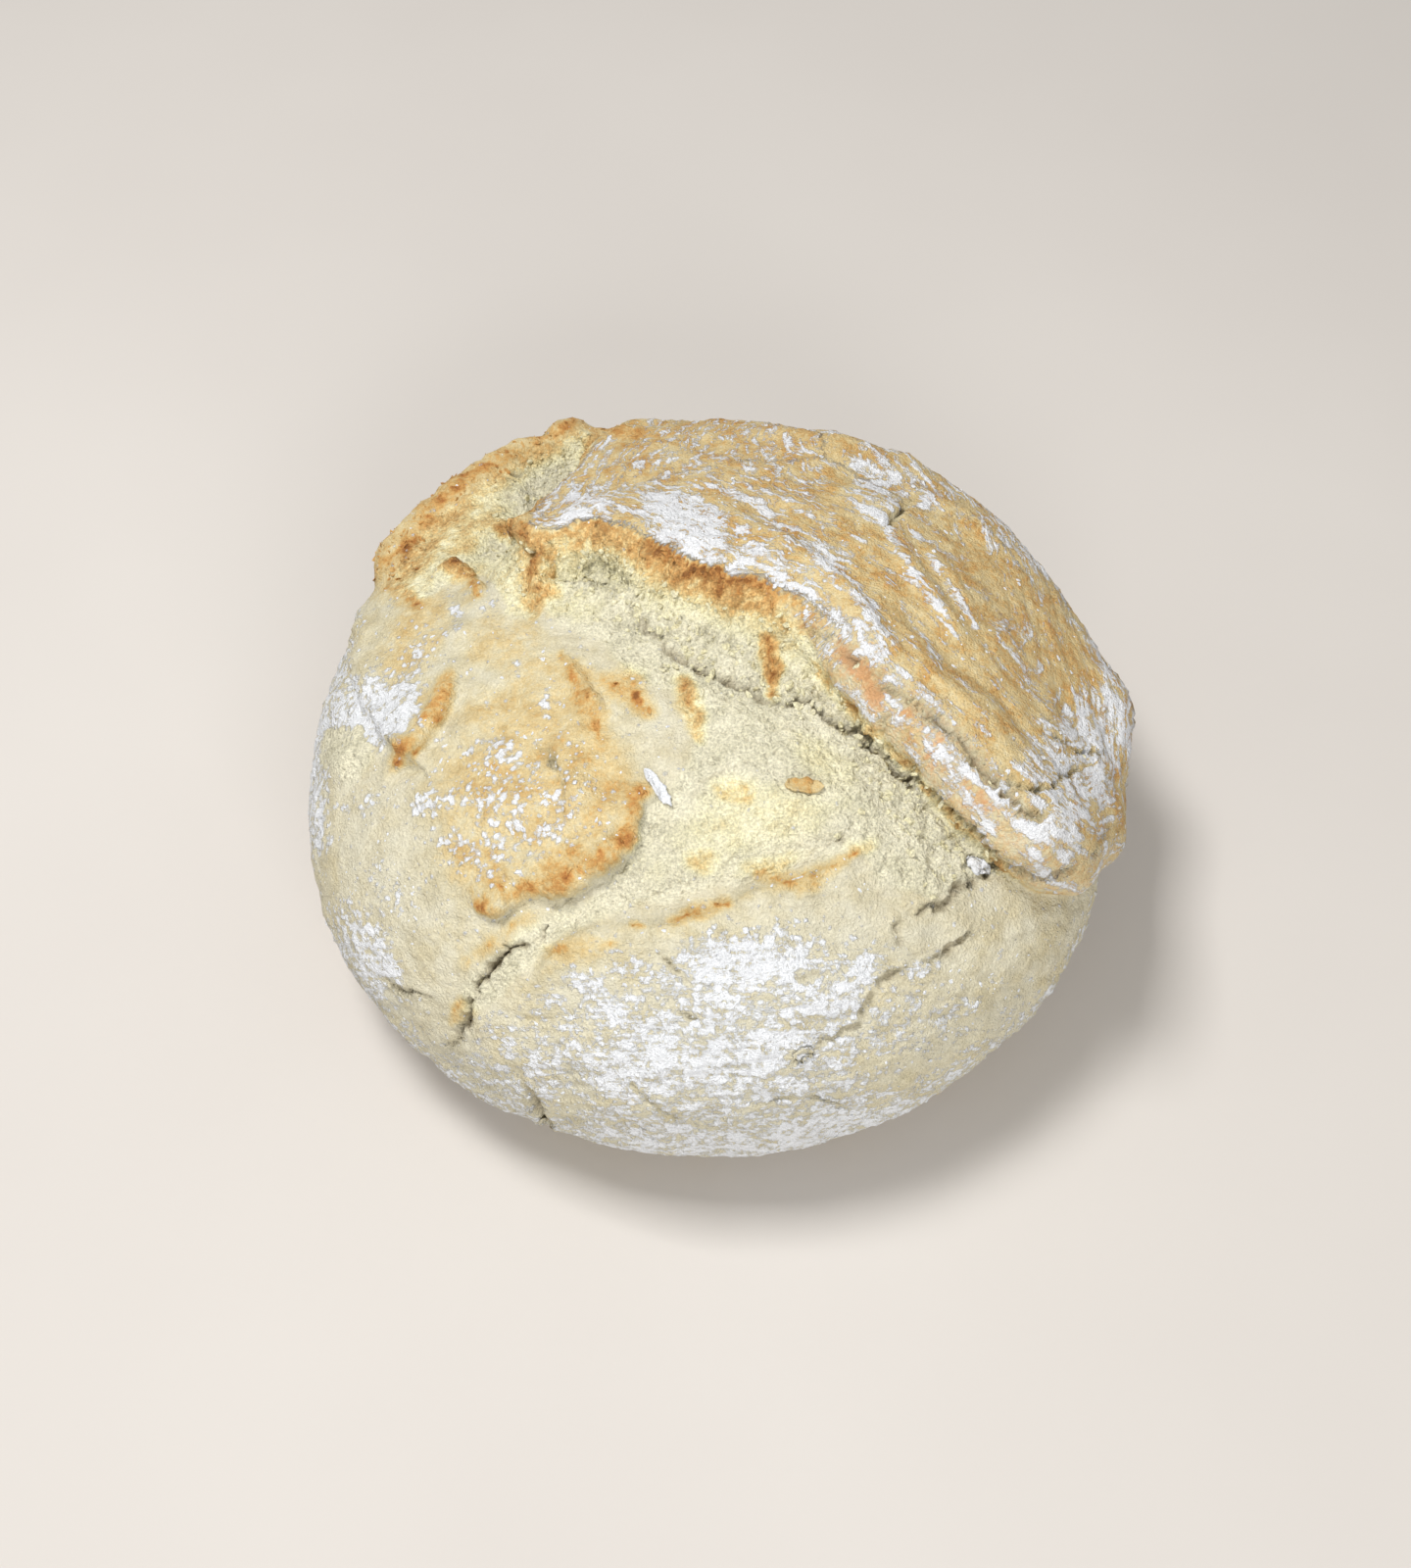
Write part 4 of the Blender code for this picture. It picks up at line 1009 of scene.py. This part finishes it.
# Bread's grain: patchy tone, grit, finer speckle, small pores and the walls between them
bread_grain, given, result = node_group("bread_grain", "Place", "Patches Grit Speckle Pores Cells")
tree = bread_grain
cells = from_cells(tree, given["Place"], 1.5)
porous = soft_step(tree, noise_of(tree, given["Place"], 3.0, 2.0, 0.5), 0.42, 0.6)
for name, value in (
        ("Patches", grains(tree, given["Place"], 6.0)),
        ("Grit", grains(tree, given["Place"], 1.3, 4.0, 0.7)),
        ("Speckle", grains(tree, given["Place"], 0.6, 2.0)),
        ("Pores", times(tree, soft_step(tree, cells, 0.5, 0.1), porous)),
        ("Cells", times(tree, cells, 1.4))):
    tree.links.new(value, result[name])

# Toasting: crust from cream through gold to dark brown, and crumb from ivory to toast
toasting, given, result = node_group("toasting", "Baked Torn Patches Grit", "Color Toast")
tree = toasting
uneven_bake = sum_of(
    tree, given["Baked"],
    times(tree, swing(tree, given["Patches"], 0.3), soft_step(tree, given["Baked"], -0.1, 0.4)),
    times(tree, swing(tree, given["Grit"], 0.26), soft_step(tree, given["Baked"], 0.0, 0.5)),
)
crust_colour = colour_steps(tree, uneven_bake, (
    (0.0, (212, 207, 186)), (0.15, (210, 199, 165)), (0.32, (213, 193, 146)), (0.47, (208, 182, 129)),
    (0.6, (206, 166, 103)), (0.76, (196, 144, 80)), (0.9, (176, 118, 60)), (1.0, (146, 94, 46))))
crumb_colour = colour_steps(tree, uneven_bake, (
    (0.0, (228, 222, 196)), (0.14, (240, 233, 194)), (0.3, (236, 216, 160)), (0.5, (224, 184, 120)),
    (0.7, (204, 156, 94)), (0.88, (180, 126, 68)), (1.0, (148, 98, 50))))
tree.links.new(blend(tree, given["Torn"], crust_colour, crumb_colour), result["Color"])
tree.links.new(uneven_bake, result["Toast"])

# A dusting of flour: smeared into streaks along the strands, elsewhere in dots and clumps, with worn
# patches and specks
dusting, given, result = node_group("flour_dusting", "Amount Smeared Strand Place", "Cover Lift")
tree = dusting
smear = node(tree, "Mapping", {"Vector": given["Strand"], "Scale": (0.15, 1.0, 1.0)})
streaks = grains(tree, smear.outputs[0], 1.4)
worn = grains(tree, given["Place"], 4.0)
specks = grains(tree, given["Place"], 0.9, 3.0, 0.7)
round_dots = soft_step(tree, from_cells(tree, given["Place"], 2.0), 0.6, 0.1)
clumps = grains(tree, given["Place"], 2.2, 2.0, 0.5)
dots = sum_of(tree, times(tree, round_dots, 0.6), times(tree, clumps, 0.5))
marks = node(tree, "Mix", {0: given["Smeared"], 2: dots, 3: streaks}).outputs[0]
unevenness = (swing(tree, marks, 0.75), swing(tree, worn, 0.4), swing(tree, specks, 0.36))
cover = soft_step(tree, sum_of(tree, given["Amount"], *unevenness), 0.46, 0.8)
tree.links.new(cover, result["Cover"])
tree.links.new(times(tree, cover, sum_of(tree, specks, 0.3)), result["Lift"])

BUMP_DEPTH = 1.1
CRUST_SHINE = 0.3
FLOUR_COLOUR = tint(245, 247, 251)
# Painted shade: the dark in the crumb's pores
PORE_SHADE_COLOUR = tint(170, 154, 116)
# Painted shade: the dark along the bottom of cracks
CRACK_SHADE_COLOUR = tint(136, 116, 82)
BLUSH_COLOUR = tint(202, 140, 92)


def bread_material(name, roughness=0.8, fixed=None):
    """Bread crust and crumb. The loaf's mesh says how baked, torn and floured each point is. A small
    piece has no such layers, so for it these are fixed."""
    material = bpy.data.materials.new(name)
    material.use_nodes = True
    tree = material.node_tree
    shader = tree.nodes["Principled BSDF"]
    objects = node(tree, "TexCoord").outputs["Object"]
    place = node(tree, "VectorMath", {0: objects, 3: 1 / MM}, operation="SCALE").outputs[0]

    def layer(name):
        if fixed is not None:
            return fixed.get(name, 0.0)
        return node(tree, "Attribute", attribute_name=name).outputs["Fac"]

    crumb = layer("torn")
    strands = place
    if fixed is None:
        strands = node(tree, "Attribute", attribute_name="strand").outputs["Vector"]
    grain = node(tree, "Group", {"Place": place}, node_tree=bread_grain).outputs
    toast = node(tree, "Group", {
        "Baked": layer("baked"), "Torn": crumb, "Patches": grain["Patches"], "Grit": grain["Grit"],
    }, node_tree=toasting).outputs
    flour = node(tree, "Group", {
        "Amount": layer("floured"), "Smeared": layer("smeared"), "Strand": strands, "Place": place,
    }, node_tree=dusting).outputs
    pores = times(tree, grain["Pores"], crumb)
    contrast = sum_of(tree, times(tree, crumb, 0.24), 0.16)
    tone = sum_of(tree, times(tree, swing(tree, grain["Speckle"], 1.0), contrast), 0.96)
    blush = soft_step(tree, sum_of(tree, layer("blushed"), swing(tree, grain["Grit"], 0.5)), 0.15, 0.95)
    colour = blend(tree, 1.0, toast["Color"], tone, "MULTIPLY")
    # Over the toasted colour: painted shade in the pores, the rolled edge's own blush, painted shade
    # along the bottom of cracks, and flour
    for cover, strength, over in (
            (pores, 0.16, PORE_SHADE_COLOUR), (blush, 0.7, BLUSH_COLOUR),
            (layer("cracked"), 0.75, CRACK_SHADE_COLOUR), (flour["Cover"], 0.93, FLOUR_COLOUR)):
        colour = blend(tree, times(tree, cover, strength), colour, over)
    tree.links.new(colour, shader.inputs["Base Color"])
    gloss = soft_step(tree, toast["Toast"], 0.3, 0.8, roughness, roughness - 0.25)
    rough = sum_of(tree, gloss, times(tree, flour["Cover"], 0.2), times(tree, crumb, 0.1))
    tree.links.new(rough, shader.inputs["Roughness"])
    gritty = sum_of(tree, times(tree, crumb, 0.24), times(tree, grain["Patches"], 0.3), 0.06)
    crumb_walls = times(tree, times(tree, grain["Cells"], grain["Patches"]), crumb)
    lift = sum_of(
        tree, times(tree, crumb_walls, 0.6), times(tree, grain["Grit"], gritty),
        times(tree, grain["Speckle"], 0.2), times(tree, pores, -0.3), times(tree, flour["Lift"], 0.4))
    bump = node(tree, "Bump", {"Height": lift, "Distance": BUMP_DEPTH * MM, "Strength": 1.0})
    tree.links.new(bump.outputs[0], shader.inputs["Normal"])
    shader.inputs["Specular IOR Level"].default_value = CRUST_SHINE
    return material


loaf.mesh.materials.append(bread_material("crust_and_crumb"))
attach(loaf.object, "root")
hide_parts("sourdough_loaf")


# Bits of torn crumb, that came away as the crust tore and lie along the foot of the flap: soft bread,
# pulled apart by the rising dough and dried by the oven's heat. All of them are one mesh.

CRUMB_COUNT = 900
CRUMB_HALF_SIZES = (0.25, 1.0)
CRUMB_SHAPE = (1.5, 0.9, 0.7)
BIT_UNEVENNESS = 0.35
BIT_MARGIN = 0.1

room = np.bincount(loaf.faces.ravel(), np.repeat(read(loaf.mesh.polygons, "area", 1), 4))


def scattered(name, likely, count, half_sizes, shape, lean, dice):
    """Small uneven bits strewn over the loaf, in one mesh: as often as is likely for the room round a
    point, and small ones more often. Their shape is each half size's share along the surface, across
    and outwards, and lean says how far they tip out of its way."""
    chance = np.clip(likely, 0, None) * room
    index = dice.choice(len(chance), count, replace=False, p=chance / chance.sum())
    smallest, largest = half_sizes
    size = smallest * (largest / smallest) ** (dice.random(count) ** 1.6)
    sizes = size[:, None] * np.asarray(shape) * dice.uniform(0.7, 1.3, (count, 3))
    out = loaf.normals[index]
    if lean:
        out = unit(out + lean * dice.normal(size=out.shape))
    cage = bmesh.new()
    bmesh.ops.create_icosphere(cage, subdivisions=1, radius=1)
    corners = np.array([corner.co for corner in cage.verts])
    faces = np.array([[corner.index for corner in face.verts] for face in cage.faces])
    cage.free()
    along = unit(np.cross(out, dice.normal(size=out.shape)))
    ways = np.stack([along, np.cross(out, along), out], axis=1)
    uneven_corners = corners * (1 + BIT_UNEVENNESS * dice.uniform(-1, 1, (count, len(corners), 1)))
    points = loaf.points[index][:, None] + (uneven_corners * sizes[:, None]) @ ways
    rows = faces + len(corners) * np.arange(count)[:, None, None]
    mesh = bpy.data.meshes.new(name)
    mesh.from_pydata((points.reshape(-1, 3) * MM).tolist(), [], rows.reshape(-1, 3).tolist())
    tile = np.arange(len(mesh.polygons))
    tiles = math.ceil(math.sqrt(len(tile)))
    low, high = BIT_MARGIN, 1 - BIT_MARGIN
    spots = np.stack([tile % tiles, tile // tiles], axis=1)[:, None]
    spots = (spots + ((low, low), (high, low), (low, high))) / tiles
    mesh.uv_layers.new(name="OFBake").data.foreach_set("uv", spots.ravel())
    made = bpy.data.objects.new(name, mesh)
    made.location = CENTRING * MM
    bpy.context.scene.collection.objects.link(made)
    return made


pale = 1 - eased(baked, 0.25, 0.45)
likely = (torn * eased(place, -30, -4) * (1 - on_flap) + 0.4 * torn * cracked) * pale
crumbs = scattered(
    "torn_crumbs", likely, CRUMB_COUNT, CRUMB_HALF_SIZES, CRUMB_SHAPE, 0.5, np.random.default_rng(11))
crumbs.data.materials.append(bread_material("loose_crumb", fixed={"torn": 1.0, "baked": 0.12}))
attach(crumbs, "root")


# Shards of crust, that stand up along the torn edges: thin, crisp skin that tore into teeth and browned
# most, as it stood out into the heat. All of them are one mesh.

SHARD_COUNT = 260
SHARD_HALF_SIZES = (0.25, 0.9)
SHARD_SHAPE = (1.3, 0.8, 0.22)

likely = (eased(baked, 0.55, 0.8) + by_rim) * sheet.seen
shards = scattered(
    "crust_shards", likely, SHARD_COUNT, SHARD_HALF_SIZES, SHARD_SHAPE, 0.6, np.random.default_rng(12))
shards.data.materials.append(bread_material("browned_shards", 0.65, {"torn": 0.15, "baked": 0.72}))
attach(shards, "root")


# Grains and clumps of flour, that stuck to the damp dough and baked on: dry and white, thickest where
# the crust didn't stretch. All of them are one mesh.

GRAIN_COUNT = 2600
GRAIN_HALF_SIZES = (0.16, 0.55)
GRAIN_SHAPE = (1.5, 1.0, 0.5)
CLEAN_FOOT = 3

# Where they lie thickest: right, up, half length, half width, turn in degrees and how thick
FLOURY_PLACES = (
    (-46, 2, 22, 14, 10, 1.0), (-46, 12, 14, 6, 0, 0.7), (-74, 30, 12, 6, 60, 0.8),
    (10, 62, 30, 10, -40, 0.6), (58, 46, 22, 14, -50, 0.35), (88, 0, 18, 10, 60, 0.8),
    (4, -52, 40, 16, 0, 0.5), (-78, -28, 16, 10, -60, 0.5), (0, -76, 50, 12, 0, 0.7),
    (60, -56, 20, 14, 30, 0.6), (-30, 56, 14, 6, 0, 0.3),
)

likely = 0.12 * sheet.seen * (1 - torn) * (height > CLEAN_FOOT)
not_burnt = 1 - 0.7 * eased(baked, 0.6, 0.8)
for *spot, share in FLOURY_PLACES:
    likely = np.maximum(likely, share * sheet.patch(*spot) * (1 - torn) * not_burnt)
grain_bits = scattered(
    "flour_grains", likely, GRAIN_COUNT, GRAIN_HALF_SIZES, GRAIN_SHAPE, 0, np.random.default_rng(13))
grain_bits.data.materials.append(bread_material("baked_on_flour", fixed={"floured": 1.0}))
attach(grain_bits, "root")


# Loose flakes of skin, that lifted off as the crust tore: two floured white ones and a golden one on
# the crumb, and a pale one in front. Each is a curled sheet, laid on the loaf and thickened.

FLAKE_THICKNESS = 0.5
FLAKE_LIFT = 0.6
FLAKE_CURL = 0.9
FLAKE_RAGGEDNESS = 0.3
FLAKE_CELLS = (18, 7)

# What it is, where it lies as right and up, its half length, half width and turn, and its finish
FLAKES = (
    ("white_sliver", -12.2, -1, 5.6, 1.35, -54, {"floured": 1.4}),
    ("white_chip", 69.5, -20.8, 2.8, 1.7, -30, {"floured": 1.4}),
    ("golden_flake", 25, -0.8, 4.8, 1.6, -3, {"baked": 0.5}),
    ("pale_flake", 25, -68.5, 2.6, 1.3, 25, {"floured": 0.6, "baked": 0.1}),
)

for name, right, up, half_length, half_width, turn, finish in FLAKES:
    bpy.ops.mesh.primitive_grid_add(x_subdivisions=FLAKE_CELLS[0], y_subdivisions=FLAKE_CELLS[1], size=2)
    flake = bpy.context.object
    flake.name = flake.data.name = name
    angle = math.radians(turn)
    for corner in flake.data.vertices:
        along, aside = corner.co.x, corner.co.y
        torn_edge = 1 + FLAKE_RAGGEDNESS * noise.noise(Vector((along * 3.1, aside, up)))
        tapered = (1 - abs(along) ** 2.2) ** 0.6
        aside *= torn_edge * tapered
        shift = Vector((along * half_length, aside * half_width))
        shift.rotate(Matrix.Rotation(angle, 2))
        foot = loaf.laid(right + shift.x, up + shift.y)
        out = loaf.tree.find_nearest(foot)[1]
        curl = FLAKE_CURL * (0.6 * along * along + 0.5 * aside * aside) + 0.2 * noise.noise(Vector(foot))
        corner.co = (foot + out * (FLAKE_LIFT + curl)) * MM
    flake.location = CENTRING * MM
    skin_depth = flake.modifiers.new("skin", "SOLIDIFY")
    skin_depth.thickness = FLAKE_THICKNESS * MM
    flake.data.shade_smooth()
    flake.data.materials.append(bread_material(name, fixed=finish))
    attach(flake, "root")


# The bench: a plain pale floor, light from a window high up on the left, a soft fill from the front,
# and pale walls all round.

FLOOR_SIZE = 4.0
FLOOR_DROP = 0.2
LAMPS_AIM = Vector((0, 0, 0.04))
WALL_COLOUR = (1.0, 0.99, 0.97, 1.0)
WALL_BRIGHTNESS = 0.42

bpy.ops.mesh.primitive_plane_add(size=FLOOR_SIZE, location=(0, 0, -FLOOR_DROP * MM))
floor = bpy.context.object
floor.name = "floor"
floor_finish = bpy.data.materials.new("pale_floor")
floor_finish.use_nodes = True
tree = floor_finish.node_tree
floor_place = node(tree, "TexCoord").outputs["Object"]
floor_tone = node(tree, "TexNoise", {"Vector": floor_place, "Scale": 6.0, "Detail": 3.0}).outputs[0]
floor_colour = blend(tree, floor_tone, tint(196, 190, 184), tint(206, 201, 195))
tree.links.new(floor_colour, tree.nodes["Principled BSDF"].inputs["Base Color"])
tree.nodes["Principled BSDF"].inputs["Roughness"].default_value = 0.9
floor.data.materials.append(floor_finish)

# Name, place, size and power of each lamp, in metres and watts
LAMPS = (
    ("window", (-0.28, 0.04, 0.95), 0.26, 7.8),
    ("front_fill", (0.2, -1.0, 0.5), 0.6, 6.8),
)
for name, spot, size, power in LAMPS:
    lamp = bpy.data.objects.new(name, bpy.data.lights.new(name, "AREA"))
    lamp.data.size = size
    lamp.data.energy = power
    lamp.location = spot
    lamp.rotation_euler = (LAMPS_AIM - Vector(spot)).to_track_quat("-Z", "Y").to_euler()
    bpy.context.scene.collection.objects.link(lamp)

world = bpy.data.worlds.new("studio")
world.use_nodes = True
world.node_tree.nodes["Background"].inputs["Color"].default_value = WALL_COLOUR
world.node_tree.nodes["Background"].inputs["Strength"].default_value = WALL_BRIGHTNESS
bpy.context.scene.world = world
